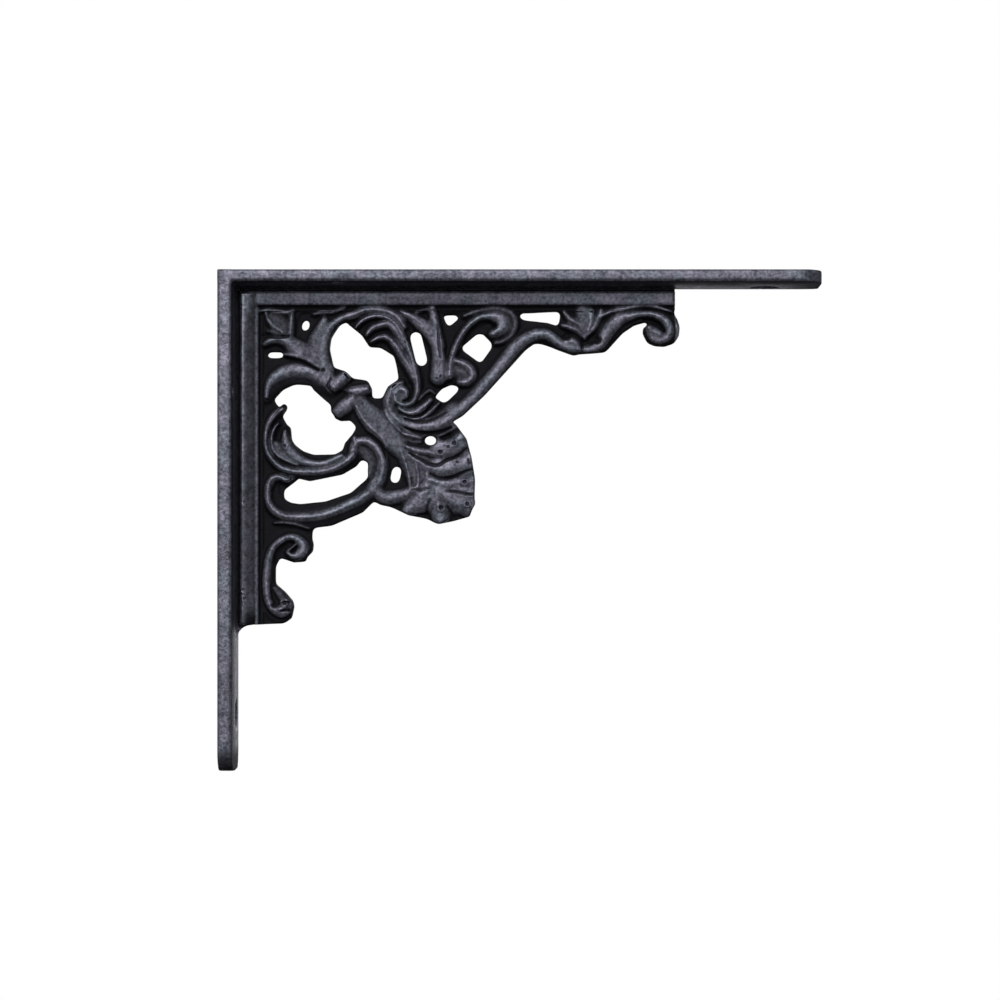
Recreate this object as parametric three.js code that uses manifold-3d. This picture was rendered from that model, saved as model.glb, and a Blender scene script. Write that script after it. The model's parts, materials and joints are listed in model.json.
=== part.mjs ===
// Ornate cast iron shelf bracket: one casting. Two flat straps meet in a right corner, one against the
// wall and one under the shelf, and a pierced scrollwork web stands between them on their centre line.
// Millimetres. X runs out from the wall, Z runs up, and Y runs across the width of the straps.
// The origin is on the face that lies against the wall, at the middle of its height and of its width.

import * as THREE from 'three';
import { mergeVertices } from 'three/addons/utils/BufferGeometryUtils.js';
import Module from 'manifold-3d';

// Straps, a little thicker along the middle than at the edges, so that the pattern draws from the sand.
const shelfReach = 152;
const wallDrop = 126;
const strapWidth = 22;
const wallEdgeThickness = 3.6;
const wallMiddleThickness = 4.15;
const shelfEdgeThickness = 3;
const shelfMiddleThickness = 3.9;
const strapEdgeBevel = 0.45;
const tipCornerRadius = 6;
const bareTipLength = 36.8;

// Screw holes: one on the centre line near each tip, and a pair beside the web on each strap.
const tipHoleInset = 14;
const tipHoleRadius = 2.3;
const tipSinkRadius = 4.2;
const tipSinkDepth = 1.9;
const sideHoleFromCorner = 30;
const sideHoleRadius = 2;
const cutClearance = 1;

// Stepped border that runs along both straps, measured away from the strap's inner face.
const grooveWidth = 0.9;
const bandWidth = 3.85;
const bandHalf = 4;
const bandBevel = 0.55;
const beadGap = 0.2;
const beadWidth = 0.75;
const beadHalf = 3.3;
const borderStepWidth = 1.9;
const shelfStepWidth = 1.35;
const borderStepHalf = 2.5;
const heelFilletWidth = 4.5;
const heelFilletHeight = 3;
const heelFilletSteps = 4;

// Scrollwork: a thin sunk ground, and ridges that stand up from it as high as the border.
// A ridge's crest and edge are heights from the middle plane, and flat is the level share of its width.
const groundHalf = 1.5;
const shellGroundHalf = 2.1;
const limb = { crest: 4, edge: 1.15, flat: 0.3 };
const strand = { crest: 4, edge: 1.15, flat: 0 };
const fold = { crest: 3.5, edge: 1.15, flat: 0 };
const vein = { crest: 2.9, edge: 1.15, flat: 0 };
const bud = { crest: 4, edge: 1.8, flat: 0.4 };
const lobe = { crest: 3.8, edge: 2.5, flat: 0.4 };
const broadStem = { crest: 4, edge: 1.8, flat: 0.6 };

// A ridge gets a new cross section after each step length or step turn, and has short tapered tips.
const ridgeStepLength = 7;
const ridgeStepTurn = 0.42;
const samplesPerPoint = 8;
const bendReach = 2;
const straightBend = 1e-3;
const innerBendShare = 0.85;
const capLength = 0.5;
const capWidth = 0.6;

// Sides of round holes and ovals, steps round the straps' corners, and how close two points are one.
const roundSides = 20;
const ovalSides = 12;
const cornerSteps = 5;
const weldDistance = 1e-5;

// The scrollwork is drawn in units of its own: so many of them fill the field inside the border, and they
// stretch with it. The drawing laps over the border under the shelf strap.
const drawnUnitsPerWidth = 104.4;
const drawnUnitsPerHeight = 80.1;
const drawnOverlap = 0.9;

// Levels and edges that follow from the sizes above.
const wallTop = wallDrop / 2;
const wallFoot = -wallDrop / 2;
const halfWidth = strapWidth / 2;
const webReach = shelfReach - bareTipLength;
const webFoot = wallFoot + bareTipLength;
const bandEnd = grooveWidth + bandWidth;
const fieldLeft = wallMiddleThickness + bandEnd + borderStepWidth;
const fieldTop = wallTop - shelfMiddleThickness - bandEnd - shelfStepWidth + drawnOverlap;
const stretchOut = (webReach - fieldLeft) / drawnUnitsPerWidth;
const stretchDown = (fieldTop - webFoot) / drawnUnitsPerHeight;
const stretchWidth = Math.sqrt(stretchOut * stretchDown);

const alongX = new THREE.Vector3(1, 0, 0);
const alongY = new THREE.Vector3(0, 1, 0);
const alongZ = new THREE.Vector3(0, 0, 1);
const downward = new THREE.Vector3(0, 0, -1);

const wasm = await Module();
wasm.setup();

// A closed solid from a three.js geometry.
function solid(geometry) {
  geometry.deleteAttribute('normal');
  geometry.deleteAttribute('uv');
  const merged = mergeVertices(geometry, weldDistance);
  return new wasm.Manifold(new wasm.Mesh({
    numProp: 3,
    vertProperties: new Float32Array(merged.attributes.position.array),
    triVerts: new Uint32Array(merged.index.array),
  }));
}

function join(solids) {
  return solids.reduce((whole, piece) => whole.add(piece));
}

// A shape drawn along the directions u and v, pushed out square to both from a starting point.
function prism(shape, depth, u, v, start, bevel = 0) {
  const geometry = new THREE.ExtrudeGeometry(shape, {
    depth: depth - 2 * bevel,
    bevelEnabled: bevel > 0,
    bevelSegments: 1,
    bevelSize: bevel,
    bevelThickness: bevel,
    bevelOffset: -bevel,
    curveSegments: cornerSteps,
  });
  geometry.translate(0, 0, bevel);
  const turn = new THREE.Matrix4().makeBasis(u, v, new THREE.Vector3().crossVectors(u, v));
  geometry.applyMatrix4(turn.setPosition(start));
  return solid(geometry);
}

// A shape drawn in X and Z, made a plate that reaches as far to one side of the middle as to the other.
function plate(shape, half, bevel = 0) {
  return prism(shape, 2 * half, alongX, alongZ, new THREE.Vector3(0, half, 0), bevel);
}

function polygon(points) {
  return new THREE.Shape(points.map(([across, up]) => new THREE.Vector2(across, up)));
}

// A round bar of radius near at its start and far at its end, which lies a length away along an axis.
function bar(start, axis, length, near, far) {
  const geometry = new THREE.CylinderGeometry(far, near, length, roundSides);
  geometry.translate(0, length / 2, 0);
  geometry.applyQuaternion(new THREE.Quaternion().setFromUnitVectors(alongY, axis));
  geometry.translate(start.x, start.y, start.z);
  return solid(geometry);
}

// The outline of a strap seen flat: square at the bracket's corner, with round corners at its free tip.
function tipPlan(length) {
  const outline = new THREE.Shape();
  const straightEnd = length - tipCornerRadius;
  const straightSide = halfWidth - tipCornerRadius;
  outline.moveTo(0, -halfWidth);
  outline.lineTo(straightEnd, -halfWidth);
  outline.absarc(straightEnd, -straightSide, tipCornerRadius, -Math.PI / 2, 0, false);
  outline.absarc(straightEnd, straightSide, tipCornerRadius, 0, Math.PI / 2, false);
  outline.lineTo(0, halfWidth);
  return outline;
}

// A strap's cross section: across its width, and up from the face that it is fastened by.
function strapSection(edge, middle) {
  return polygon([
    [strapEdgeBevel - halfWidth, 0],
    [halfWidth - strapEdgeBevel, 0],
    [halfWidth, strapEdgeBevel],
    [halfWidth, edge - strapEdgeBevel],
    [halfWidth - strapEdgeBevel, edge],
    [0, middle],
    [strapEdgeBevel - halfWidth, edge],
    [-halfWidth, edge - strapEdgeBevel],
    [-halfWidth, strapEdgeBevel],
  ]);
}

// A strap that runs from the corner along one direction, its fastened face square to `inward`.
function strap(length, edge, middle, along, inward) {
  const corner = new THREE.Vector3(0, 0, wallTop);
  const across = new THREE.Vector3().crossVectors(inward, along);
  const section = prism(strapSection(edge, middle), length, across, inward, corner);
  const outer = corner.clone().addScaledVector(inward, -cutClearance);
  return section.intersect(prism(tipPlan(length), middle + 2 * cutClearance, along, across, outer));
}

function straps() {
  const wall = strap(wallDrop, wallEdgeThickness, wallMiddleThickness, downward, alongX);
  const shelf = strap(shelfReach, shelfEdgeThickness, shelfMiddleThickness, alongX, downward);
  return wall.add(shelf);
}

// Border

// A strip with two legs, from `near` to `far` away from the inner faces of both straps.
function cornerStrip(near, far, half, bevel = 0, shelfFar = far) {
  const wallSide = (offset) => wallMiddleThickness + offset;
  const shelfSide = (offset) => wallTop - shelfMiddleThickness - offset;
  return plate(polygon([
    [wallSide(near), webFoot],
    [wallSide(far), webFoot],
    [wallSide(far), shelfSide(shelfFar)],
    [webReach, shelfSide(shelfFar)],
    [webReach, shelfSide(near)],
    [wallSide(near), shelfSide(near)],
  ]), half, bevel);
}

function border() {
  const beadStart = bandEnd + beadGap;
  const sunkIn = Math.min(wallEdgeThickness, shelfEdgeThickness) / 2;
  return [
    cornerStrip(-sunkIn, bandEnd + borderStepWidth, borderStepHalf, 0, bandEnd + shelfStepWidth),
    cornerStrip(grooveWidth, bandEnd, bandHalf, bandBevel),
    cornerStrip(beadStart, beadStart + beadWidth, beadHalf),
    plate(polygon(heelFillet()), borderStepHalf),
  ];
}

// The hollow curve where the foot of the web runs out on the wall strap.
function heelFillet() {
  const points = [[wallEdgeThickness, webFoot + heelFilletHeight]];
  for (let i = 0; i <= heelFilletSteps; i += 1) {
    const turn = (i / heelFilletSteps) * (Math.PI / 2);
    points.push([
      wallMiddleThickness + heelFilletWidth * (1 - Math.cos(turn)),
      webFoot - heelFilletHeight * (1 - Math.sin(turn)),
    ]);
  }
  points.push([wallMiddleThickness + heelFilletWidth, webFoot + heelFilletHeight]);
  return [[wallEdgeThickness, webFoot - heelFilletHeight], ...points.slice(1), points[0]];
}

// Scrollwork

// A place in the drawn field: units out from the border's inner corner, and down from it.
function place([out, down]) {
  return [fieldLeft + out * stretchOut, fieldTop - down * stretchDown];
}

function drawn(points) {
  return polygon(points.map(place));
}

// Where a ridge needs a cross section: closer together where its curve turns. Each stop has the place,
// the direction along the ridge, and how far it spreads to its left and right without folding over itself.
function ridgeStops(points) {
  const nodes = points.map((point) => new THREE.Vector3(...place(point), point[2] * stretchWidth));
  const curve = new THREE.CatmullRomCurve3(nodes, false, 'centripetal');
  const fine = curve.getPoints(nodes.length * samplesPerPoint);
  const last = fine.length - 1;
  const heading = (i) => {
    const a = fine[Math.max(i - 1, 0)];
    const b = fine[Math.min(i + 1, last)];
    return Math.atan2(b.y - a.y, b.x - a.x);
  };
  const turnBetween = (i, k) => {
    const turn = heading(k) - heading(i);
    return Math.atan2(Math.sin(turn), Math.cos(turn));
  };
  const gap = (i, k) => Math.hypot(fine[k].x - fine[i].x, fine[k].y - fine[i].y);
  const kept = [0];
  for (let i = 1; i < last; i += 1) {
    const from = kept[kept.length - 1];
    if (Math.abs(turnBetween(from, i)) > ridgeStepTurn || gap(from, i) > ridgeStepLength) kept.push(i);
  }
  kept.push(last);
  return kept.map((i) => {
    const before = Math.max(i - bendReach, 0);
    const after = Math.min(i + bendReach, last);
    const bend = turnBetween(before, after) / gap(before, after);
    const room = Math.abs(bend) > straightBend ? innerBendShare / Math.abs(bend) : Infinity;
    const half = fine[i].z;
    const angle = heading(i);
    return {
      x: fine[i].x,
      z: fine[i].y,
      angle,
      half,
      left: bend > 0 ? Math.min(half, room) : half,
      right: bend < 0 ? Math.min(half, room) : half,
    };
  });
}

// One cross section of a ridge, moved along its curve by `ahead`, and narrowed and lowered at an end.
function ridgeRing(stop, style, ahead = 0, width = 1, height = 1) {
  const top = style.edge + (style.crest - style.edge) * height;
  const left = stop.left * width;
  const right = stop.right * width;
  const level = style.flat > 0 ? [[-right * style.flat, -top], [left * style.flat, -top]] : [[0, -top]];
  const half = [[-right, -style.edge], ...level, [left, -style.edge]];
  const section = [...half, ...half.map(([side, y]) => [side, -y]).reverse()];
  const cos = Math.cos(stop.angle);
  const sin = Math.sin(stop.angle);
  const corners = section.map(([side, y]) => [
    stop.x + ahead * cos - side * sin,
    y,
    stop.z + ahead * sin + side * cos,
  ]);
  return { corners, cos, sin };
}

// Whether every corner of a cross section lies further along the ridge than in the one before.
function advances(before, after) {
  return after.corners.every(([x, , z], i) => {
    const [fromX, , fromZ] = before.corners[i];
    return (x - fromX) * before.cos + (z - fromZ) * before.sin > 0;
  });
}

// A ridge that follows a curve, alike on both faces of the web. Each point is a place and a half width.
// A sharp ridge runs out to its tips, and one with a level crest keeps its width and has blunt ends.
function ridge(style, points) {
  const stops = ridgeStops(points);
  const first = stops[0];
  const final = stops[stops.length - 1];
  const full = style.flat > 0 ? stops : stops.slice(1, -1);
  const sections = [
    ridgeRing(first, style, -capLength * first.half, capWidth, capWidth),
    ...full.map((stop) => ridgeRing(stop, style)),
    ridgeRing(final, style, capLength * final.half, capWidth, capWidth),
  ];
  const rings = [sections[0].corners];
  sections.reduce((before, after) => {
    if (!advances(before, after)) return before;
    rings.push(after.corners);
    return after;
  });
  const sides = rings[0].length;
  const index = [];
  for (let r = 0; r + 1 < rings.length; r += 1) {
    for (let s = 0; s < sides; s += 1) {
      const a = r * sides + s;
      const b = r * sides + (s + 1) % sides;
      index.push(a, b + sides, b, a, a + sides, b + sides);
    }
  }
  const end = (rings.length - 1) * sides;
  for (let s = 1; s + 1 < sides; s += 1) {
    index.push(0, s, s + 1);
    index.push(end, end + s + 1, end + s);
  }
  const geometry = new THREE.BufferGeometry();
  geometry.setAttribute('position', new THREE.Float32BufferAttribute(rings.flat(2), 3));
  geometry.setIndex(index);
  return solid(geometry);
}

// The sunk ground between the ridges.
function ground() {
  const alongShelf = [
    [19.7, -0.5], [104.4, -0.5], [104.4, 5.6], [101.5, 7.2], [98.6, 6.4], [97.6, 3.5], [95.5, 1.8],
    [90, 4.3], [86.4, 9.3], [81.6, 10.6], [75.3, 8.8], [70.3, 6.6], [64.7, 9.3], [52.6, 22.7],
    [45, 28.3], [34.9, 29.6], [30.2, 22.7], [31.6, 19.7], [34.4, 17.8], [33.9, 14.7], [33.2, 11.9],
    [29.8, 9.8], [27, 9.7], [25, 6.6], [21.5, 3.8],
  ];
  const corner = [
    [-1, -0.5], [21, -0.5], [19.2, 2], [15.9, 5.6], [14.9, 10.6], [15.9, 16.9], [10.1, 17.2],
    [5.8, 16.7], [1.5, 21.2], [-1, 23.2],
  ];
  const betweenBuds = [
    [15.9, 14.7], [18.2, 14.9], [21, 15.8], [22.8, 17.6], [26.4, 18.1], [27.7, 20.2], [27.7, 23],
    [23.6, 28], [21, 28.4], [18.2, 27.9], [17.4, 24.6], [14.7, 22.3], [12.4, 20.2], [13.5, 17],
  ];
  const alongWall = [
    [-1, 22.7], [2.5, 22.7], [4.5, 25.8], [1.5, 29.6], [1, 34.6], [4.5, 39.9], [9.6, 41.7], [8.6, 43.5],
    [5.3, 46], [5.3, 48.5], [9.6, 52.3], [17.2, 52.3], [12.6, 56.1], [12.3, 60], [10.8, 64.2],
    [7.8, 64.4], [4.3, 63.2], [3.2, 65.4], [3.2, 69.8], [5.6, 71.8], [7.8, 74.4], [7.3, 78],
    [5.2, 79.9], [-1, 80.1],
  ];
  const insideMiddleScroll = [
    [4.3, 26.3], [6.6, 30.3], [6.6, 33.4], [8.6, 37.1], [12.1, 39.2], [18.4, 39.2], [22.2, 37.6],
    [22.2, 39.4], [18.4, 40.9], [12.1, 41.4], [7.1, 40.4], [3.3, 37.9], [1.5, 34.6], [1.5, 30.3],
  ];
  const stemAndShell = [
    [22.2, 22], [27.5, 22.7], [32.3, 22.7], [34.9, 29.6], [45, 28.6], [48.8, 29.1], [51.7, 33],
    [53, 37.9], [53.8, 42.9], [53.7, 49], [52.5, 52.7], [48.3, 53.9], [44.7, 54.6], [41.2, 53.2],
    [36.9, 52.4], [33.1, 50.6], [29.2, 49.1], [26, 48.5], [27.8, 43.5], [26.5, 41.7], [26.7, 39],
    [24.6, 38], [21.5, 38], [20.1, 36.3], [20.7, 34.1], [22.7, 31.8], [23.7, 30], [22.4, 28.6],
  ];
  return [
    plate(drawn(alongShelf), groundHalf),
    plate(drawn(corner), groundHalf),
    plate(drawn(betweenBuds), groundHalf),
    plate(drawn(alongWall), groundHalf),
    plate(drawn(insideMiddleScroll), groundHalf),
    plate(drawn(stemAndShell), shellGroundHalf),
  ];
}

// The pointed leaf in the corner of the border, and the two arches that spring from its stem.
function cornerLeaf() {
  return [
    ridge(fold, [[1.3, 1.8, 0.8], [2.5, 4.3, 1], [4, 5.8, 1], [5.8, 6.8, 0.9]]),
    ridge(fold, [[9.1, 1, 0.8], [7.8, 2.8, 1], [7.3, 7.1, 1]]),
    ridge(vein, [[1, 0.5, 0.6], [4, 1, 0.9], [6.8, 0.8, 0.9], [9.6, 0, 0.6]]),
    ridge(fold, [[1, 8.8, 0.8], [3.3, 8.1, 1], [5.6, 8.2, 1], [7.8, 9.6, 1], [9.9, 11.9, 1]]),
    ridge(fold, [[6.6, 7.1, 1.5], [11.9, 11.9, 3], [14.4, 14.9, 3]]),
    ridge(vein, [[4.8, 12.6, 0.6], [8.6, 12.4, 0.8], [12.1, 13.4, 0.8]]),
    ridge(limb, [
      [24.3, 0.8, 0.9], [21, 1.5, 1.3], [18.2, 3, 1.6], [15, 8.1, 2], [15.2, 14.2, 2.5],
      [16.4, 17.2, 2.3],
    ]),
    ridge(limb, [
      [16.4, 17.7, 2.3], [13.1, 16.4, 3], [6.8, 15.9, 3.5], [2.4, 19.7, 2.3], [1.3, 22.5, 1.5],
    ]),
  ];
}

// Three round buds where the arches meet the stem, and one beside the split leaf.
function buds() {
  return [
    ridge(bud, [[17.7, 19.9, 2], [19.2, 18.9, 2.6], [20.5, 17.9, 2.1]]),
    ridge(bud, [[22, 21, 2.1], [24.3, 20.5, 2.7], [26.1, 20.2, 2.2]]),
    ridge(bud, [[21.5, 23.8, 2.3], [20.2, 25.4, 3.1], [19.3, 26.3, 2.8]]),
    ridge(fold, [[49, 14.7, 1.3], [51.6, 15.7, 2.3], [52.6, 16.9, 2.3]]),
  ];
}

// The large scroll under the shelf strap: four folds that gather into one limb and curl to a volute.
function upperScroll() {
  return [
    ridge(strand, [
      [22.7, 2.3, 0.6], [25.3, 0.9, 0.9], [28.8, 0.4, 0.9], [32.1, 1, 1], [34.6, 3, 1.3],
      [36.4, 6.1, 1.6], [39.4, 16.9, 1.5], [39.5, 20.5, 1.3], [38.5, 23.2, 1.3], [36.1, 24.5, 1.3],
      [33.7, 24, 1.3], [32.5, 22.2, 1.3],
    ]),
    ridge(fold, [
      [23.8, 4.8, 0.9], [25.5, 3.4, 1.1], [28.3, 2.5, 1.3], [31.1, 2.7, 1.3], [33.4, 4, 1.3],
      [36.1, 9.6, 1.3],
    ]),
    ridge(strand, [
      [26.5, 6.8, 0.8], [28.6, 5.1, 1], [31.1, 4.4, 1.1], [33.1, 5.6, 1.3], [35.6, 11.4, 1.6],
      [37, 14.7, 1.6], [37.7, 17.7, 1.5],
    ]),
    ridge(fold, [[27.5, 8.8, 0.9], [29.3, 7.7, 1.1], [31.8, 7.8, 1.5], [34.1, 9.6, 1.5]]),
    ridge(limb, [[33.7, 20.3, 1.8], [34.7, 21.6, 2.1], [34.7, 23, 1.7]]),
    ridge(fold, [[34.9, 25.8, 0.8], [37.9, 26.3, 1], [40.9, 25.4, 1], [43, 23.8, 0.8]]),
    ridge(fold, [[35.4, 27.3, 0.8], [38.2, 27.7, 0.9], [41.2, 27.2, 0.9], [44.7, 24.3, 0.8]]),
    ridge(strand, [[32.1, 22.5, 0.9], [32.6, 25, 1], [33.9, 27.3, 1], [35.9, 29.1, 1.3]]),
    ridge(fold, [[31.2, 23.5, 0.8], [31.6, 26, 0.9], [34.6, 30.6, 1], [37.1, 32.1, 1], [40.7, 33, 0.8]]),
  ];
}

// The split leaf that hangs from the border, with one blade curled to the right.
function splitLeaf() {
  return [
    ridge(fold, [[35.9, 1.3, 1], [38.4, 2.4, 1.3], [40.9, 4.4, 1.5], [44.1, 10.6, 2], [44.5, 16.7, 2.3]]),
    ridge(fold, [[41.9, 0.3, 1.3], [45, 6.6, 1.5], [46.5, 13.9, 1.5]]),
    ridge(strand, [
      [47.3, 15.2, 1.5], [48.9, 9.3, 1.4], [52.8, 4, 1.4], [58.6, 1.9, 1.5], [61.2, 3, 1.8],
      [61.9, 5.3, 1.8], [60.4, 7.1, 1.5], [58.4, 6.7, 1.3],
    ]),
    ridge(fold, [
      [50.5, 1.8, 0.6], [57.1, 0.1, 0.8], [60.6, 0.4, 0.8], [63.4, 1.8, 0.8], [64.2, 4.3, 0.9],
      [62.9, 7.3, 0.9], [60.6, 8.8, 1], [58.4, 9.3, 0.8],
    ]),
    ridge(vein, [[56.9, 4.8, 0.9], [57.7, 4.3, 1], [58.4, 3.8, 1]]),
  ];
}

// The long limb that rises from the stem to the shelf strap and bulges under the husk.
function diagonalLimb() {
  return [
    ridge(limb, [
      [35.4, 29.6, 1.8], [38.2, 29.8, 2.3], [44.7, 28.4, 2.4], [53.8, 21, 2.4], [64.7, 9, 2.4],
      [67.5, 6.7, 2.4], [70.5, 6.1, 2.7], [73, 7, 2.5], [75.1, 8.3, 2.2], [79.6, 9.9, 1.8],
      [80.6, 8.3, 1.3],
    ]),
    ridge(limb, [[81.4, 8.1, 1.3], [82.1, 10.2, 1.7], [84.7, 9.9, 1.8], [86.4, 8.3, 1.8]]),
  ];
}

// The scroll that ends the web under the shelf strap, and the husk of four leaves beside it.
function shelfScroll() {
  return [
    ridge(limb, [
      [85.7, 9.9, 1.8], [86.8, 7.3, 2.5], [90.8, 3, 2.8], [96.3, 1, 2.3], [99.3, 1.2, 2.3],
      [102.2, 2.4, 2.4], [103.7, 4.8, 2.2], [103.2, 7, 2.1], [100.8, 7.8, 1.8], [98.6, 6.8, 2],
    ]),
    ridge(limb, [[98.2, 5, 2.1], [98.6, 5.7, 2.3], [99, 6.4, 2.2]]),
    ridge(vein, [[84.9, 1.8, 0.6], [87.7, 0.9, 0.8], [91.5, 0.1, 0.6]]),
    ridge(fold, [[76.8, 1.3, 1], [80.1, 5.1, 1], [81.1, 7.1, 0.8]]),
    ridge(vein, [[76.1, 3.8, 0.9], [77.8, 4.9, 0.9], [79.6, 6.1, 0.8]]),
    ridge(fold, [[84.9, 1.3, 1], [84.4, 3.3, 1.1], [81.6, 7.1, 0.8]]),
    ridge(vein, [[82.1, 1.3, 0.8], [82.1, 3.5, 0.9], [81.4, 5.6, 0.8]]),
  ];
}

// The broad stem that runs down the diagonal, and the fluted shell that it opens into.
function stemAndShell() {
  return [
    ridge(broadStem, [
      [22.7, 23, 1.5], [25.5, 26.3, 3], [28.8, 29.6, 3.9], [32.3, 33.6, 3.6], [35.6, 37.7, 2.6],
    ]),
    ridge(vein, [[45.2, 33, 0.8], [46.7, 32.7, 1], [48, 32.1, 1.3]]),
    ridge(strand, [
      [35.6, 34.9, 1], [42.2, 36.6, 1.4], [45.5, 36.8, 1.4], [48, 35.6, 1.6], [49.8, 33.6, 1.8],
    ]),
    ridge(fold, [[37.9, 37, 0.8], [40.9, 38.3, 0.9], [44.2, 38.8, 0.9], [47.3, 38.3, 0.8]]),
    ridge(lobe, [
      [36.9, 37.4, 1], [39.9, 39.3, 1.4], [43.2, 40.6, 1.8], [47.3, 40.7, 2.1], [51.2, 39.3, 2.2],
    ]),
    ridge(lobe, [[40.4, 41.9, 1], [44.2, 43.7, 1.9], [48, 44.5, 2.2], [52.6, 44.7, 2.4]]),
    ridge(lobe, [[40.9, 44, 1], [47.4, 47.8, 2.1], [51.7, 50.2, 3.2]]),
    ridge(lobe, [[40.2, 45, 1], [42.9, 48.3, 1.9], [45.5, 52.6, 2.9]]),
    ridge(lobe, [[38.4, 45, 1.3], [39.2, 47.8, 1.9], [38.8, 50.9, 2.7]]),
    ridge(lobe, [[35.9, 46, 1.3], [33.9, 48.2, 1.8], [31.6, 48.2, 2.1], [29.1, 46.9, 2.2]]),
    ridge(strand, [[35.4, 38.2, 0.9], [36.5, 40.4, 1], [36.9, 43.2, 1.1], [35.9, 46, 1.3]]),
    ridge(fold, [[37.4, 38.2, 0.6], [38.9, 40.4, 0.8], [39, 43.2, 0.8], [38.2, 45.5, 0.8]]),
    ridge(fold, [[39.2, 38.7, 0.6], [40.7, 41.2, 0.8], [41.2, 44, 0.8]]),
  ];
}

// The two nested scrolls beside the wall strap, and the long lower limb that curls back under them.
function wallScrolls() {
  return [
    ridge(limb, [
      [5.6, 24.6, 0.8], [2.1, 28.6, 1.4], [1.1, 31.3, 1.4], [2.1, 37.1, 1.5], [7.3, 40.9, 2],
      [14.7, 41.3, 2.3], [21.5, 39, 2.1], [23.1, 37, 2.4], [23.5, 34.9, 2.8], [25.3, 33.5, 2.4],
    ]),
    ridge(limb, [
      [6.3, 30.1, 0.8], [5.7, 32.3, 1.3], [6.3, 35.1, 1.8], [8.5, 37.4, 2], [11.6, 38.8, 2],
      [18.4, 38.7, 1.8], [21, 37.4, 1.8],
    ]),
    ridge(fold, [[4.3, 29.3, 0.6], [2.8, 31.3, 0.9], [2.4, 33.9, 0.8]]),
    ridge(limb, [
      [23.8, 34.1, 2], [26.3, 33.4, 2.1], [29.9, 37.4, 2.6], [29.4, 43.2, 2.7], [24.8, 48.5, 2.9],
      [17.2, 51.8, 3.2], [9.1, 52.8, 3.3], [5.6, 51.7, 2.9], [3, 49.4, 2.5], [2, 46.5, 2.3],
      [2.4, 44, 1.9], [4.3, 42.7, 1.5], [6.8, 43.1, 1],
    ]),
    ridge(fold, [[23.2, 37.1, 1.3], [25, 35.9, 1.3], [26.8, 36.4, 1]]),
    ridge(vein, [[2.8, 54.5, 0.5], [7.1, 54.8, 0.6], [11.6, 55.6, 0.6]]),
  ];
}

// The small double scroll at the foot of the web, beside the wall strap.
function footScroll() {
  return [
    ridge(limb, [
      [9.6, 62.7, 1.3], [11.2, 61.2, 1.5], [11.1, 59.1, 1.6], [9.1, 57.9, 1.8], [6.6, 57.9, 1.9],
      [4, 59, 2], [2.3, 61, 2], [1.2, 63.7, 2], [0.9, 73.3, 2.3], [2, 75.8, 2.5], [4, 77.3, 2.7],
      [5.9, 76.8, 2.2], [6.4, 75.1, 1.6],
    ]),
    ridge(limb, [[7.6, 60.6, 1.5], [8.1, 61.5, 1.9], [8.5, 62.4, 2.3]]),
    ridge(fold, [[5.3, 74.3, 1.4], [5.1, 74.8, 1.4], [4.8, 75.3, 1.3]]),
  ];
}

// A slot with round ends between two places.
function slot(from, to, radius) {
  const [x0, z0] = place(from);
  const [x1, z1] = place(to);
  const angle = Math.atan2(z1 - z0, x1 - x0);
  const end = radius * stretchWidth;
  const outline = new THREE.Shape();
  outline.absarc(x1, z1, end, angle - Math.PI / 2, angle + Math.PI / 2, false);
  outline.absarc(x0, z0, end, angle + Math.PI / 2, angle + 1.5 * Math.PI, false);
  return outline;
}

// An oval about a place, half as wide and as tall as the whole, and tilted by an angle.
function oval(centre, halfWide, halfTall, tilt = 0) {
  const [x, z] = place(centre);
  const curve = new THREE.EllipseCurve(
    x, z, halfWide * stretchOut, halfTall * stretchDown, 0, 2 * Math.PI, false, tilt,
  );
  return new THREE.Shape(curve.getPoints(ovalSides).slice(0, ovalSides));
}

// The small openings that pierce the ground.
function piercings() {
  const crests = [limb, strand, fold, vein, bud, lobe, broadStem].map((style) => style.crest);
  const through = Math.max(bandHalf, ...crests) + cutClearance;
  return [
    oval([10.8, 4.2], 1, 1.4, -0.26),
    slot([1.9, 11.7], [4.4, 11.7], 0.75),
    slot([38.8, 7.2], [40.2, 13], 1.45),
    oval([42.5, 33.4], 1.55, 1.25),
    slot([33.9, 41.2], [33.5, 43], 1.2),
    drawn([[45.7, 1.6], [49.2, 1.5], [49.6, 2.5], [47.4, 4.3], [46.6, 3.9]]),
    drawn([
      [54.4, 6.3], [55.8, 6.3], [58.1, 8.7], [58, 9.9], [55.6, 13.3], [54.8, 13.5], [50.7, 10.5], [50.6, 9.5],
    ]),
    drawn([
      [43.6, 22.4], [45.3, 20.3], [47.8, 19.2], [49.7, 19.7], [49.4, 20.9], [46.8, 23.4], [45.7, 23.8],
    ]),
    drawn([
      [64.9, 1.9], [65.8, 1], [74.9, 0.5], [75.5, 1.4], [75.1, 3.8], [74.4, 4.2], [72.3, 3.5], [66.1, 2.8],
    ]),
  ].map((shape) => plate(shape, through));
}

// Screw holes through one strap. Inward is square to its fastened face, and along runs out to its tip.
function strapHoles(length, middle, along, inward) {
  const corner = new THREE.Vector3(0, 0, wallTop);
  const spot = (distance, across, depth) => corner.clone()
    .addScaledVector(along, distance)
    .addScaledVector(alongY, across)
    .addScaledVector(inward, depth);
  const through = middle + 2 * cutClearance;
  const tip = length - tipHoleInset;
  const offset = (halfWidth + bandHalf) / 2;
  const sink = spot(tip, 0, middle - tipSinkDepth);
  return [
    bar(spot(tip, 0, -cutClearance), inward, through, tipHoleRadius, tipHoleRadius),
    bar(sink, inward, tipSinkDepth, tipHoleRadius, tipSinkRadius),
    ...[-offset, offset].map((across) => {
      const start = spot(sideHoleFromCorner, across, -cutClearance);
      return bar(start, inward, through, sideHoleRadius, sideHoleRadius);
    }),
  ];
}

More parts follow.
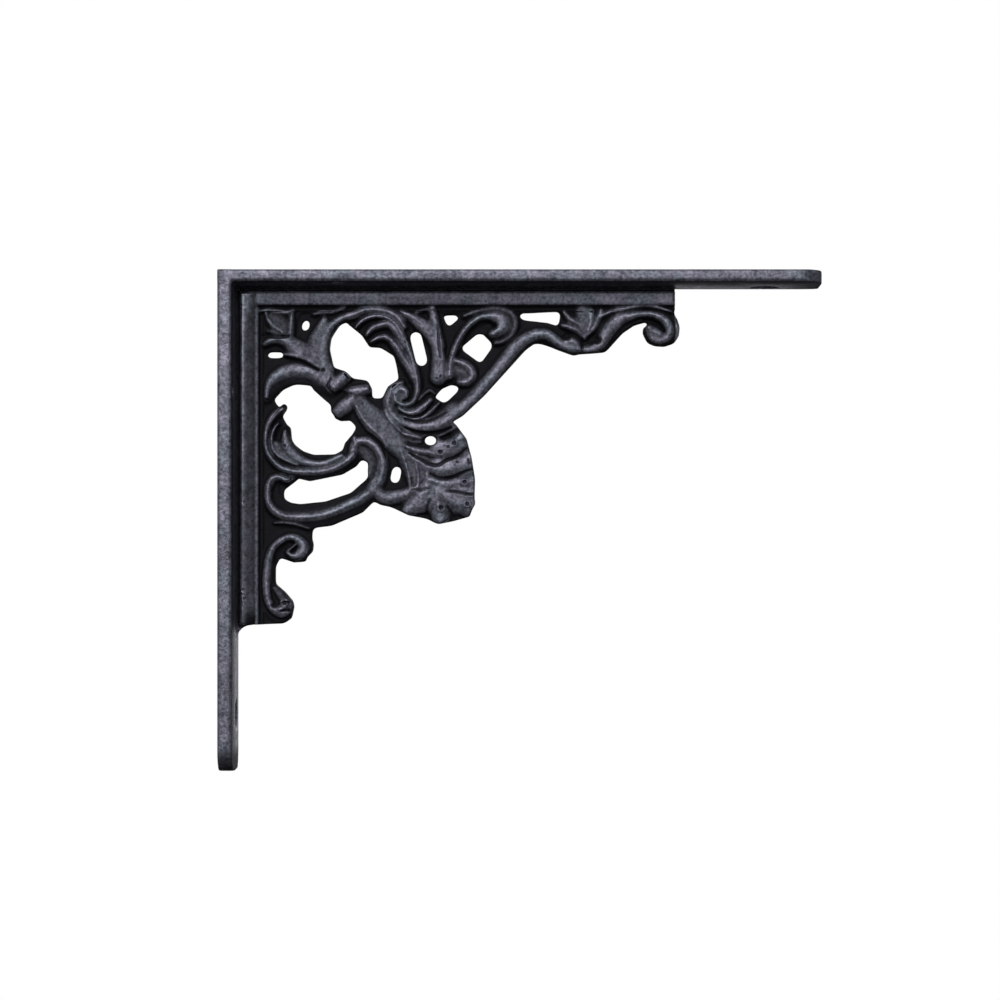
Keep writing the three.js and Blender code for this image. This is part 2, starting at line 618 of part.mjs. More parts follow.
function screwHoles() {
  return [
    ...strapHoles(wallDrop, wallMiddleThickness, downward, alongX),
    ...strapHoles(shelfReach, shelfMiddleThickness, alongX, downward),
  ];
}

function casting() {
  const iron = join([
    straps(),
    ...border(),
    ...ground(),
    ...cornerLeaf(),
    ...buds(),
    ...upperScroll(),
    ...splitLeaf(),
    ...diagonalLimb(),
    ...shelfScroll(),
    ...stemAndShell(),
    ...wallScrolls(),
    ...footScroll(),
  ]);
  return iron.subtract(join([...piercings(), ...screwHoles()]));
}

function meshGeometry(body) {
  const { vertProperties, triVerts } = body.getMesh();
  const geometry = new THREE.BufferGeometry();
  geometry.setAttribute('position', new THREE.BufferAttribute(vertProperties, 3));
  geometry.setIndex(new THREE.BufferAttribute(triVerts, 1));
  geometry.computeVertexNormals();
  return geometry;
}

const castIron = new THREE.MeshStandardMaterial({
  color: 0x2b2b30,
  roughness: 0.55,
  metalness: 0.85,
  flatShading: true,
});

const bracket = new THREE.Group();
const body = new THREE.Mesh(meshGeometry(casting()), castIron);
body.name = 'bracket_casting';
bracket.add(body);

export default bracket;
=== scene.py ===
# %% [markdown]
# # An ornate cast iron shelf bracket
#
# The real bracket is one casting in grey iron: a flat strap against the wall, a flat strap under the
# shelf, and between them a pierced web of scrolls, leaves and a fluted shell. A pattern maker carves such
# a web in wood, the founder presses it into damp sand, and the iron that fills the sand keeps two things:
# every ridge comes out round on top, because no sharp edge survives the sand, and every face has a fine grain.
#
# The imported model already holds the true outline, the straps, the border and the ridges as plain facets.
# This lesson takes a copy of that casting and finishes it as the pattern maker would: it rounds each
# ridge, cuts the creases and pits, gives the skin its grain, and then sets up iron, light and camera.

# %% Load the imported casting
import math

import bpy
import numpy as np
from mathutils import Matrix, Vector
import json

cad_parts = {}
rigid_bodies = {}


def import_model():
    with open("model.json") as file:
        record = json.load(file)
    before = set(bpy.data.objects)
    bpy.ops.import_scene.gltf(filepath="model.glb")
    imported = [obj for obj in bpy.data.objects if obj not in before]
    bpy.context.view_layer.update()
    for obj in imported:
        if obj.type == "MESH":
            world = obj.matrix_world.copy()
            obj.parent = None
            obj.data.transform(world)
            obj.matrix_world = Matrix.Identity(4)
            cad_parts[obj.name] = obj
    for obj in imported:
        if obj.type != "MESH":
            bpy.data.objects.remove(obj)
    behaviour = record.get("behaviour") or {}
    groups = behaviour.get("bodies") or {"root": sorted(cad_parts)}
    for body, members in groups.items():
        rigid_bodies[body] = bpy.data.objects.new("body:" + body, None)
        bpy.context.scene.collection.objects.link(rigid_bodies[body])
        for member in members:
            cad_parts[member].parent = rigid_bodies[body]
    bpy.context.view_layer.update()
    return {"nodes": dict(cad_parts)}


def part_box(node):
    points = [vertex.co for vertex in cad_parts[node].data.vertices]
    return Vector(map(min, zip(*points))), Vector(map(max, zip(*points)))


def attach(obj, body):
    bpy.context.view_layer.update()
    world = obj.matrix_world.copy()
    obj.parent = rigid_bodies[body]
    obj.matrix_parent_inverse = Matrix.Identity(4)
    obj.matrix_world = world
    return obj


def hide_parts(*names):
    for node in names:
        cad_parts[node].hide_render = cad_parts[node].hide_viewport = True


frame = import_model()
casting_low, casting_high = (Vector(corner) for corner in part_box("bracket_casting"))
MM = 0.001
size_mm = [round(side / MM, 2) for side in casting_high - casting_low]
print("casting, in millimetres:", size_mm)

# %% [markdown]
# ## Where the drawing lies
#
# The scrollwork is drawn in millimetres from the inner corner of the border: `out` runs away from the wall
# strap and `down` runs away from the shelf strap. One origin turns every such place into a place of the
# model, so a ridge can be written down once, as a few points with a half width each, and a smooth curve
# runs through them. The curve is a centripetal Catmull-Rom spline, which passes through its points and
# makes no loops where two of them lie close together.

# %% The drawing's origin and its smooth curves
BORDER_FROM_WALL_FACE = 10.8 * MM
BORDER_FROM_SHELF_FACE = 9.1 * MM
field_left = casting_low.x + BORDER_FROM_WALL_FACE
field_top = casting_high.z - BORDER_FROM_SHELF_FACE
STEPS_PER_POINT = 8


def drawn_curve(points):
    """Places (X, Z) and half widths, in metres, along the smooth curve through the drawn points."""
    nodes = np.array(points, dtype=float) * MM
    nodes[:, 0] = field_left + nodes[:, 0]
    nodes[:, 1] = field_top - nodes[:, 1]
    nodes = np.vstack([2 * nodes[0] - nodes[1], nodes, 2 * nodes[-1] - nodes[-2]])
    run = []
    for p0, p1, p2, p3 in zip(nodes, nodes[1:], nodes[2:], nodes[3:]):
        d0, d1, d2 = (np.sqrt(np.linalg.norm(b - a)) for a, b in ((p0, p1), (p1, p2), (p2, p3)))
        lead = ((p1 - p0) / d0 - (p2 - p0) / (d0 + d1) + (p2 - p1) / d1) * d1
        trail = ((p2 - p1) / d1 - (p3 - p1) / (d1 + d2) + (p3 - p2) / d2) * d1
        t = np.linspace(0, 1, STEPS_PER_POINT, endpoint=False)[:, None]
        run.append((2 * t**3 - 3 * t**2 + 1) * p1 + (t**3 - 2 * t**2 + t) * lead
                   + (3 * t**2 - 2 * t**3) * p2 + (t**3 - t**2) * trail)
    run.append(nodes[-2][None])
    return np.vstack(run)


print("the drawing starts at X", round(field_left / MM, 2), "and Z", round(field_top / MM, 2))

# %% [markdown]
# ## The ridges
#
# Each ridge has a style: the height of its crest and of its edges above the middle plane of the web, and
# its roundness. A roundness of 2 gives a half-round moulding, and more gives a broad top with quick
# shoulders, as on the buds, the stem and the shell. Under the narrow ridges lie low, wide ones: sheets,
# which are the flesh of a leaf, and bases, which carry a limb. The lists follow the web from its corner
# outwards, and then down the wall. A point is out, down, half width.

# %% Ridge styles
LIMB = {"crest": 4.0 * MM, "edge": 1.2 * MM, "roundness": 2.3}
DIAGONAL = {"crest": 4.0 * MM, "edge": 1.2 * MM, "roundness": 2.8}
ARCH = {"crest": 3.7 * MM, "edge": 1.4 * MM, "roundness": 3.0}
STRAND = {"crest": 3.8 * MM, "edge": 2.2 * MM, "roundness": 2.0}
SPIRAL = {"crest": 3.9 * MM, "edge": 2.2 * MM, "roundness": 2.2}
FOLD = {"crest": 3.6 * MM, "edge": 2.1 * MM, "roundness": 2.0}
VEIN = {"crest": 3.2 * MM, "edge": 2.2 * MM, "roundness": 2.0}
LEAF = {"crest": 3.8 * MM, "edge": 2.2 * MM, "roundness": 3.4}
BUD = {"crest": 4.0 * MM, "edge": 1.7 * MM, "roundness": 2.8}
LOBE = {"crest": 3.9 * MM, "edge": 2.4 * MM, "roundness": 2.6}
STEM = {"crest": 3.5 * MM, "edge": 2.2 * MM, "roundness": 4.0}
MEMBRANE = {"crest": 3.05 * MM, "edge": 2.2 * MM, "roundness": 3.0}
BASE = {"crest": 2.7 * MM, "edge": 1.6 * MM, "roundness": 3.0}
SHELL = {"crest": 3.8 * MM, "edge": 2.7 * MM, "roundness": 3.0}
SHEET = {"crest": 3.4 * MM, "edge": 2.1 * MM, "roundness": 3.6}

# %% The pointed leaf in the border's corner, and the two arches that spring from its stem
CORNER_LEAF = [
    (MEMBRANE, [(2.3, 2.3, 1.77), (3.8, 3.5, 2.53), (5.6, 5.3, 2.02)]),
    (FOLD, [(0.8, 1.3, 0.61), (1.5, 3, 0.99), (3, 4.7, 1.21), (5.1, 6.1, 1.06)]),
    (FOLD, [
        (-0.8, 0.8, 0.57), (1.5, 0.4, 0.76), (3.8, 0.8, 0.95), (6.1, 1.1, 0.95), (7.8, 0.5, 0.76),
    ]),
    (FOLD, [(7.5, 0.5, 0.83), (7.3, 3.5, 1.14), (7.1, 6.6, 1.14)]),
    (VEIN, [(1, 5.6, 0.49), (3, 6.1, 0.66), (5.3, 6.6, 0.66)]),
    (FOLD, [
        (0.5, 9.1, 0.95), (2, 8.1, 1.33), (4, 7.8, 1.52), (6.3, 8.6, 1.9), (8.1, 10.4, 2.27),
        (9.9, 12.1, 1.9),
    ]),
    (SHEET, [
        (6.1, 7.6, 1.26), (8.6, 9.6, 2.27), (11.1, 11.4, 2.78), (13.6, 13.1, 2.78),
        (16.4, 15.4, 2.27),
    ]),
    (SHEET, [(15.7, 3, 1.26), (14.9, 5.8, 2.27), (13.9, 8.8, 3.03), (14.2, 12.1, 3.29)]),
    (FOLD, [
        (5.3, 11.6, 0.57), (7.1, 11.9, 0.76), (9.1, 12.4, 0.95), (11.9, 13.4, 1.14),
        (14.2, 14.9, 1.33),
    ]),
    (VEIN, [(12.9, 1.5, 0.66), (15.2, 1, 0.82), (18.2, 0.8, 0.82), (21, -0.3, 0.66)]),
    (ARCH, [
        (24.8, 1, 0.76), (22.5, 1.5, 1.01), (20.5, 2.3, 1.26), (18.7, 3.3, 1.52),
        (16.9, 5.1, 1.77), (15.7, 7.6, 2.02), (15.2, 10.9, 2.27), (15.4, 14.4, 2.53),
        (16.4, 17.4, 2.53), (17.7, 20, 2.02),
    ]),
    (BASE, [
        (1, 23, 1.26), (2.5, 19, 2.78), (7.6, 16.4, 3.79), (13.1, 17.4, 3.54), (17.4, 20.2, 2.27),
    ]),
    (ARCH, [
        (1, 22.5, 1.01), (1.3, 20.2, 1.39), (2.5, 18.2, 2.02), (4.8, 16.6, 2.53),
        (7.6, 15.8, 2.65), (10.4, 15.9, 2.65), (13.1, 16.8, 2.53), (15.4, 18.2, 2.27),
        (17.4, 20, 1.77),
    ]),
]

# %% Three buds where the arches meet the stem, and one beside the split leaf
BUDS = [
    (BUD, [(18.2, 20, 1.77), (19.7, 18.4, 2.27), (21.5, 16.9, 2.02)]),
    (BUD, [(22.5, 21, 1.77), (24.3, 21, 2.15), (26.3, 20.5, 1.9)]),
    (BUD, [(22.7, 23, 1.77), (21.2, 24.5, 2.53), (19.2, 26.3, 2.27)]),
    (VEIN, [(21, 20.7, 0.49), (22.5, 21, 0.66), (24, 21, 0.49)]),
    (VEIN, [(49, 15.4, 2.14), (50.8, 16.4, 2.3)]),
    (SPIRAL, [
        (48.8, 13.4, 1.21), (50.5, 13.9, 1.52), (52.6, 15.4, 1.67), (53.1, 17.2, 1.67),
        (51.6, 18.7, 1.52), (49.8, 18.7, 1.21),
    ]),
]

# %% The large scroll under the shelf strap: four folds gather into one limb and curl to a volute
UPPER_SCROLL = [
    (STRAND, [
        (20.7, 2.3, 1.21), (22.7, 1.8, 1.42), (24.8, 0.8, 1.42), (27.3, 0.3, 1.42),
        (30.1, 0.5, 1.42), (32.6, 1.3, 1.42), (34.6, 2.8, 1.42), (35.9, 4.8, 1.01),
    ]),
    (LIMB, [
        (23, 5.8, 0.63), (24.5, 3.8, 1.01), (26.5, 2.5, 1.14), (29.1, 2, 1.14), (31.6, 2.5, 1.26),
        (33.6, 4, 1.26), (35.1, 6.3, 1.39), (36.4, 9.1, 1.52), (37.7, 12.6, 1.64),
        (38.7, 16.2, 1.64), (39.2, 19.7, 1.52), (38.9, 22.2, 1.39), (37.7, 24, 1.26),
        (35.6, 24.5, 1.26), (33.6, 23.5, 1.14),
    ]),
    (STRAND, [
        (26.3, 6.8, 0.81), (27.5, 5.3, 1.21), (29.6, 4.3, 1.29), (32.1, 4, 1.42),
        (33.6, 5.6, 1.42), (34.9, 7.6, 1.42), (35.9, 9.9, 1.21),
    ]),
    (LIMB, [
        (27.3, 8.6, 0.76), (29.1, 7.6, 1.14), (31.1, 7.3, 1.39), (32.6, 8.3, 1.52),
        (34.1, 10.1, 1.77), (35.6, 12.4, 2.02), (37.1, 14.9, 1.9), (38.2, 17.7, 1.52),
    ]),
    (SHEET, [(35.4, 21.7, 2.27), (35.9, 22.7, 2.27)]),
    (SPIRAL, [
        (33.6, 23.5, 1.36), (33.6, 21.7, 1.36), (34.9, 20.5, 1.36), (36.4, 21, 1.21),
        (36.4, 22.5, 0.91),
    ]),
    (STRAND, [
        (35.4, 18.7, 0.81), (33.6, 19.7, 1.62), (32.3, 21.5, 1.82), (31.8, 23.8, 1.82),
        (32.3, 26, 1.82), (33.6, 27.8, 2.02), (35.4, 29.1, 2.22), (37.7, 29.8, 2.63),
        (40.9, 30.1, 2.83), (44.2, 29.6, 3.03), (46.7, 28.3, 3.23), (48.8, 26.5, 3.44),
    ]),
    (STRAND, [(30.8, 26, 0.61), (31.8, 27.8, 0.89), (33.4, 29.6, 0.97), (35.1, 31.3, 0.81)]),
    (VEIN, [(32.9, 30.8, 0.39), (34.4, 32.3, 0.59), (36.1, 33.6, 0.49)]),
    (STRAND, [
        (34.4, 25.3, 0.81), (36.4, 26.5, 1.37), (38.7, 26.3, 1.46), (40.7, 25, 1.37),
        (42.5, 23.2, 1.01),
    ]),
    (STRAND, [
        (35.6, 27.3, 0.73), (38.2, 28, 0.97), (40.7, 27.5, 0.97), (42.7, 26, 0.97),
        (44.7, 24, 0.73),
    ]),
    (VEIN, [(39.7, 23.2, 0.49), (40.9, 21.7, 0.66), (42.5, 20.7, 0.66), (43.7, 21.7, 0.49)]),
]

# %% The split leaf that hangs from the border, with one blade curled to the right
SPLIT_LEAF = [
    (LEAF, [
        (35.6, 1.3, 0.88), (37.9, 2.5, 1.52), (40.4, 4.3, 2.15), (42.7, 6.3, 2.27),
        (44, 9.1, 2.02), (44.5, 11.9, 2.02), (44.7, 14.7, 2.4), (44.5, 17.4, 2.53),
    ]),
    (LEAF, [(43, 0.3, 1.26), (43.5, 3, 1.52), (44.2, 6.3, 1.52), (45, 9.6, 1.52)]),
    (STRAND, [(35.1, 0.8, 0.73), (37.1, 1.8, 0.97), (39.4, 3.3, 1.05), (41.7, 5.3, 1.05)]),
    (SPIRAL, [
        (47.3, 17.2, 1.36), (47.5, 14.2, 1.21), (48.3, 11.1, 1.21), (49.5, 8.3, 1.21),
        (51, 5.8, 1.21), (52.8, 3.8, 1.21), (54.8, 2.5, 1.21), (56.9, 2, 1.36), (58.9, 2.1, 1.82),
        (60.4, 3, 2.43), (60.9, 4.3, 2.58), (59.9, 5.6, 2.12), (58.1, 6.6, 1.36),
    ]),
    (VEIN, [
        (51, 2, 0.72), (53.1, 1.1, 0.79), (56.4, 0.3, 0.79), (59.6, 0.1, 0.85), (62.2, 0.8, 0.99),
        (63.7, 2.3, 1.05), (63.9, 4.5, 1.05), (62.9, 6.8, 0.99), (60.9, 8.3, 0.85),
        (58.9, 8.8, 0.72),
    ]),
    (VEIN, [(38.7, 1, 0.49), (40.4, 0.5, 0.59), (42.2, 0, 0.46)]),
]

# %% The long limb that rises from the stem to the shelf strap
DIAGONAL_LIMB = [
    (DIAGONAL, [
        (45.2, 29.3, 1.52), (48, 27.3, 2.15), (50.8, 25, 2.4), (53.8, 22.2, 2.53),
        (56.9, 18.7, 2.53), (59.9, 15.2, 2.53), (62.4, 11.9, 2.53), (64.7, 9.3, 2.53),
        (67, 7.6, 2.4), (69.5, 6.6, 2.27), (71.8, 6.6, 2.15), (73.8, 7.8, 2.02), (75.8, 9.3, 2.02),
        (78.3, 10.1, 2.02), (80.6, 10.4, 1.52),
    ]),
    (BUD, [(76.8, 8.3, 1.01), (78.3, 8.3, 1.52), (79.6, 9.3, 1.52)]),
]

# %% The scroll that ends the web under the shelf strap, and the husk of leaves beside it
SHELF_SCROLL = [
    (ARCH, [
        (81.1, 10.4, 1.52), (83.4, 10.4, 1.77), (85.4, 9.3, 2.02), (86.4, 7.6, 2.27),
        (87.4, 5.8, 2.53), (88.7, 4.3, 2.53), (90.5, 2.8, 2.27), (92.7, 2.1, 1.77),
        (95, 1.5, 1.39), (97.3, 1.4, 1.26), (99.6, 1.8, 1.47), (101.6, 2.8, 1.72),
        (102.8, 4.3, 1.77), (103.1, 6.3, 1.77), (102.1, 7.6, 1.64), (100.3, 8.1, 1.64),
        (98.6, 7.3, 1.64), (97.8, 5.8, 1.52),
    ]),
    (BUD, [(97.8, 5.1, 1.52), (98.6, 5.8, 1.9), (100.3, 6.6, 1.77)]),
    (STRAND, [
        (85.4, 2.3, 0.65), (87.2, 1.3, 0.97), (89.5, 0.5, 1.05), (92.5, 0, 0.81),
        (95.5, -0.4, 0.61), (98, -0.4, 0.61), (100.6, 0, 0.61), (103.4, 0.8, 0.57),
    ]),
    (SHEET, [(81.1, 1, 2.27), (81.4, 3, 2.27), (81.4, 5.6, 1.52)]),
    (LEAF, [(83.1, 0.8, 1.26), (83.1, 3, 1.39), (82.4, 5.6, 1.01)]),
    (FOLD, [(76.3, 1, 0.83), (77.8, 2.8, 1.21), (79.6, 3.8, 1.14), (80.9, 5.3, 0.76)]),
    (FOLD, [(75.8, 4.3, 0.83), (77.8, 4.8, 1.14), (79.9, 5.8, 1.14), (81.4, 7.6, 0.83)]),
    (FOLD, [(82.6, 0.5, 0.83), (82.9, 3, 1.06), (82.4, 5.3, 1.06), (81.4, 7.6, 0.83)]),
    (FOLD, [(85.7, 0.5, 0.83), (84.9, 2.8, 1.29), (83.9, 4.8, 1.21), (82.1, 6.8, 0.76)]),
]

# %% The broad stem, and the fluted shell that it opens into
STEM_AND_SHELL = [
    (STEM, [
        (23.5, 21.7, 1.26), (25.3, 24.5, 2.27), (27.5, 27.5, 3.29), (30.3, 30.6, 3.79),
        (32.9, 33.4, 3.29), (34.9, 35.9, 2.53),
    ]),
    (STRAND, [
        (22.7, 21.5, 0.73), (23.8, 24.8, 1.05), (25.3, 27.8, 1.29), (27.5, 30.3, 1.37),
        (29.8, 32.3, 1.29), (31.3, 34.9, 1.01),
    ]),
    (SHEET, [(35.4, 36.4, 2.02), (38.9, 40.4, 4.04), (43, 44.5, 5.56), (46, 47.5, 6.06)]),
    (VEIN, [(44.5, 32.6, 0.53), (46.5, 31.3, 0.79), (49, 30.1, 0.85)]),
    (STRAND, [(35.6, 31.8, 0.81), (37.9, 32.3, 1.05), (40.2, 32.9, 0.81)]),
    (VEIN, [(36.1, 33.1, 0.49), (38.2, 33.9, 0.66), (40.2, 33.9, 0.49)]),
    (LOBE, [
        (36.4, 35.1, 0.76), (39.4, 36.1, 1.21), (42.5, 36.6, 1.36), (44.7, 37.1, 1.52),
        (47, 35.9, 1.97), (49, 34.1, 2.12), (50.5, 32.6, 1.97),
    ]),
    (VEIN, [(39.9, 37.4, 0.49), (42.5, 38.4, 0.66), (45.2, 38.7, 0.66), (47.8, 37.7, 0.49)]),
    (LOBE, [
        (38.4, 37.9, 0.76), (40.4, 39.2, 1.21), (42.7, 40.4, 1.67), (45.5, 40.9, 1.82),
        (48.5, 40.4, 1.97), (51, 39.2, 2.27), (52.8, 37.7, 2.12),
    ]),
    (LOBE, [(42.5, 43.5, 1.21), (46.2, 44.5, 1.82), (49.5, 44.2, 1.97), (52.8, 44, 2.43)]),
    (LOBE, [(44, 46, 1.21), (46.7, 47.8, 1.97), (49.5, 49.3, 2.73), (52.3, 50.3, 3.03)]),
    (LOBE, [(44, 46.5, 0.91), (44.2, 49.3, 1.52), (44.5, 51.8, 2.27), (45.2, 53.6, 2.43)]),
    (LOBE, [(41.7, 45.2, 1.52), (40.2, 47.8, 2.58), (38.2, 50, 2.58), (36.6, 51.3, 1.82)]),
    (LOBE, [
        (39.2, 45.2, 1.21), (36.1, 47, 1.82), (33.4, 47.8, 2.12), (30.8, 47.8, 2.12),
        (28.6, 46.2, 1.67),
    ]),
    (SHELL, [(45, 35.9, 3.03), (50, 34.9, 2.53)]),
    (SHELL, [(45, 40.4, 3.54), (51.6, 39.9, 2.53)]),
    (SHELL, [(45, 46, 3.03), (52.6, 46, 3.03)]),
    (SHELL, [(42.5, 48.5, 3.03), (38.7, 49.8, 2.53)]),
    (STRAND, [(35.1, 36.4, 0.73), (36.1, 38.9, 0.97), (36.9, 41.9, 1.05), (37.4, 45.2, 0.81)]),
    (STRAND, [(37.1, 36.9, 0.73), (38.7, 39.2, 1.05), (39.4, 41.9, 1.13), (39.4, 45, 0.89)]),
    (STRAND, [(38.9, 37.4, 0.73), (40.9, 39.7, 1.13), (41.7, 42.2, 1.21), (41.4, 45, 0.89)]),
]

# %% The nested scrolls beside the wall strap, and the long lower limb that curls back under them
WALL_SCROLLS = [
    (BASE, [(5.8, 40.4, 1.77), (10.6, 41.4, 2.53), (17.2, 40.9, 2.53), (22.7, 37.4, 2.27)]),
    (LIMB, [
        (5.1, 25.5, 1.01), (3.5, 26.5, 1.52), (2, 28.3, 1.52), (1, 31.1, 1.26), (0.8, 34.1, 1.26),
        (1.3, 36.4, 1.26), (2.5, 38.4, 1.31), (4.5, 40.2, 1.52), (7.1, 41.1, 1.64),
        (10.6, 41.4, 1.77), (14.7, 41.3, 1.77), (18.2, 40.4, 1.77), (21, 38.9, 1.77),
        (23, 36.9, 1.77), (23.5, 34.9, 1.64), (23.2, 32.9, 1.26),
    ]),
    (STRAND, [
        (4, 29.1, 0.49), (2.8, 30.8, 0.69), (2.3, 32.9, 0.77), (2.4, 34.9, 0.81),
        (3.5, 36.9, 0.81), (5.8, 38.4, 0.81), (8.8, 39.7, 0.65),
    ]),
    (LEAF, [
        (5.8, 31.1, 0.63), (5.8, 33.1, 1.26), (6.1, 34.9, 1.9), (7.3, 36.6, 1.9),
        (9.3, 38.2, 1.64), (11.9, 39.2, 1.39), (14.7, 39.4, 1.26), (17.4, 38.7, 1.26),
        (20, 37.4, 1.01),
    ]),
    (SHEET, [(3.5, 34.1, 0.81), (4, 35.6, 1.06), (5.6, 37.4, 1.06), (7.8, 38.9, 0.81)]),
    (BASE, [
        (4.8, 52.3, 2.27), (10.6, 52.8, 3.41), (18.4, 51.3, 3.41), (24.8, 48.3, 3.03),
        (29.6, 43.5, 2.53), (30.3, 38.9, 2.27),
    ]),
    (LIMB, [
        (7.8, 43.2, 0.88), (6.1, 43.5, 1.26), (4.3, 42.7, 1.26), (2.5, 43, 1.39),
        (1.5, 44.7, 1.52), (1.3, 47, 1.64), (1.5, 49, 1.64), (2.8, 51, 1.77), (4.8, 52.3, 1.9),
        (7.3, 52.8, 2.02), (10.6, 52.9, 2.15), (14.7, 52.4, 2.15), (18.4, 51.3, 2.15),
        (21.7, 49.8, 2.27), (24.8, 48.3, 2.4), (27.5, 46.2, 2.27), (29.6, 43.7, 2.15),
        (30.5, 40.7, 2.02), (30.1, 37.7, 2.02), (28.6, 35.1, 2.02), (26.3, 33.6, 1.9),
        (24, 33.9, 1.77), (22.7, 36.1, 1.26),
    ]),
    (ARCH, [
        (7.6, 43, 0.88), (6.1, 43.2, 1.26), (4.3, 42.7, 1.39), (2.5, 43.3, 1.52),
        (1.5, 45.2, 1.64),
    ]),
    (ARCH, [
        (22.5, 36.4, 1.14), (23.2, 34.4, 1.52), (25.3, 33.5, 1.64), (27.5, 34.4, 1.77),
        (29.3, 36, 1.77), (30.1, 38.2, 1.77), (29.9, 40.4, 1.77), (29.1, 42.7, 1.77),
        (27.5, 45.2, 1.77),
    ]),
    (MEMBRANE, [(24.5, 35.6, 1.26), (26.3, 36.9, 1.9), (27.3, 39.4, 2.02), (26.8, 42.2, 1.26)]),
    (VEIN, [(2.8, 54.3, 0.39), (5.8, 54.3, 0.59), (8.8, 54.8, 0.59), (11.9, 55.8, 0.39)]),
]

# %% The small double scroll at the foot of the web
FOOT_SCROLL = [
    (ARCH, [
        (6.3, 61.9, 0.76), (7.6, 62.7, 1.26), (9.3, 62.4, 1.9), (10.4, 60.6, 2.15), (9.6, 59, 1.9),
        (7.8, 58, 1.52), (6.1, 58, 1.39), (4.3, 59, 1.39), (2.8, 60.4, 1.39), (1.8, 62.4, 1.52),
        (1.3, 64.9, 1.64), (1, 68.2, 1.64), (1, 71.5, 1.52), (1.5, 74.3, 1.52), (2.8, 76.3, 1.52),
        (4.8, 77.3, 1.64), (6.3, 76.6, 1.52), (6.8, 75.1, 1.26), (6.1, 73.8, 1.01),
        (4.8, 74.3, 0.88),
    ]),
    (VEIN, [(5.8, 61.7, 0.39), (7.1, 60.8, 0.59), (8.6, 59.6, 0.53)]),
    (MEMBRANE, [(3, 70.8, 0.76), (4.3, 72.3, 1.26), (5.3, 73.8, 1.26)]),
    (BUD, [(4.3, 76.3, 1.52), (5.6, 75.8, 1.9), (6.1, 74.5, 1.64)]),
]

# %% Cuts between the ridges: a depth, and the points of the cut
CUTS = [
    (1.6, [(-6.2, -5.3, 0.4), (-6.2, 35.9, 0.4), (-6.2, 79.3, 0.4)]),
    (1.6, [(-6.2, -4.8, 0.38), (47.5, -4.8, 0.38), (103.6, -4.8, 0.38)]),
    (0.7, [(0, 6.9, 0.38), (3.3, 7.3, 0.56), (6.6, 7.1, 0.38)]),
    (0.9, [(5.8, 12.6, 0.3), (9.6, 13.4, 0.51), (14.2, 15.7, 0.3)]),
    (0.7, [(17.4, 17.7, 0.25), (16.7, 19.7, 0.4), (17.9, 21.7, 0.25)]),
    (0.9, [(36.6, 19.7, 0.25), (37.7, 21.2, 0.4), (37.1, 23, 0.4), (35.6, 23.5, 0.25)]),
    (0.8, [(34.6, 26.3, 0.25), (37.7, 27.5, 0.38), (40.2, 27, 0.38), (42.2, 25.3, 0.25)]),
    (0.6, [(36.1, 28, 0.25), (39.7, 28.8, 0.38), (43, 28.2, 0.38), (46.5, 26.3, 0.25)]),
    (1, [(26, 31.1, 0.25), (28.3, 32.9, 0.45), (30.3, 35.1, 0.45), (31.3, 37.9, 0.25)]),
    (1.3, [
        (35.9, 30.1, 0.23), (38.4, 31.1, 0.45), (41.9, 31.6, 0.56), (45.2, 31.2, 0.56),
        (47.8, 30.1, 0.33),
    ]),
    (0.9, [(44.7, 32.6, 0.25), (46, 32.9, 0.56), (47.5, 31.8, 0.35)]),
    (0.85, [
        (37.1, 36.6, 0.25), (39.9, 38.2, 0.43), (42.5, 39.5, 0.45), (44.5, 39.7, 0.45),
        (46.5, 38.5, 0.45), (49, 37.5, 0.43), (51.8, 35.4, 0.3),
    ]),
    (0.8, [
        (42.5, 41.9, 0.25), (45, 43, 0.45), (48, 42.7, 0.45), (50.5, 41.7, 0.45),
        (53.3, 40.7, 0.3),
    ]),
    (0.7, [(46.5, 46.2, 0.23), (49, 46.5, 0.35), (51.3, 47, 0.38), (53.8, 47.3, 0.3)]),
    (0.6, [(46.7, 50, 0.23), (47.5, 51.3, 0.38), (48.5, 53.1, 0.3)]),
    (0.7, [(42.5, 48.5, 0.23), (41.7, 50.5, 0.38), (41.7, 52.8, 0.3)]),
    (0.6, [(37.7, 46, 0.2), (39.9, 46, 0.33), (42.2, 45.7, 0.2)]),
    (0.8, [(81.1, 7.8, 0.25), (80.9, 9.6, 0.4), (80.9, 11.4, 0.25)]),
    (1.2, [(96.5, 2.9, 0.25), (98.6, 3.2, 0.43), (100.3, 4, 0.51), (101.6, 5.8, 0.35)]),
    (1, [(8.8, 60.1, 0.23), (8.1, 61, 0.45), (7.3, 61.9, 0.23)]),
    (1.2, [(4.8, 76.6, 0.23), (6.1, 76.4, 0.43), (7.1, 76.6, 0.25)]),
    (0.5, [(44.5, 5.6, 0.25), (44.7, 9.3, 0.4), (45.2, 12.6, 0.25)]),
]

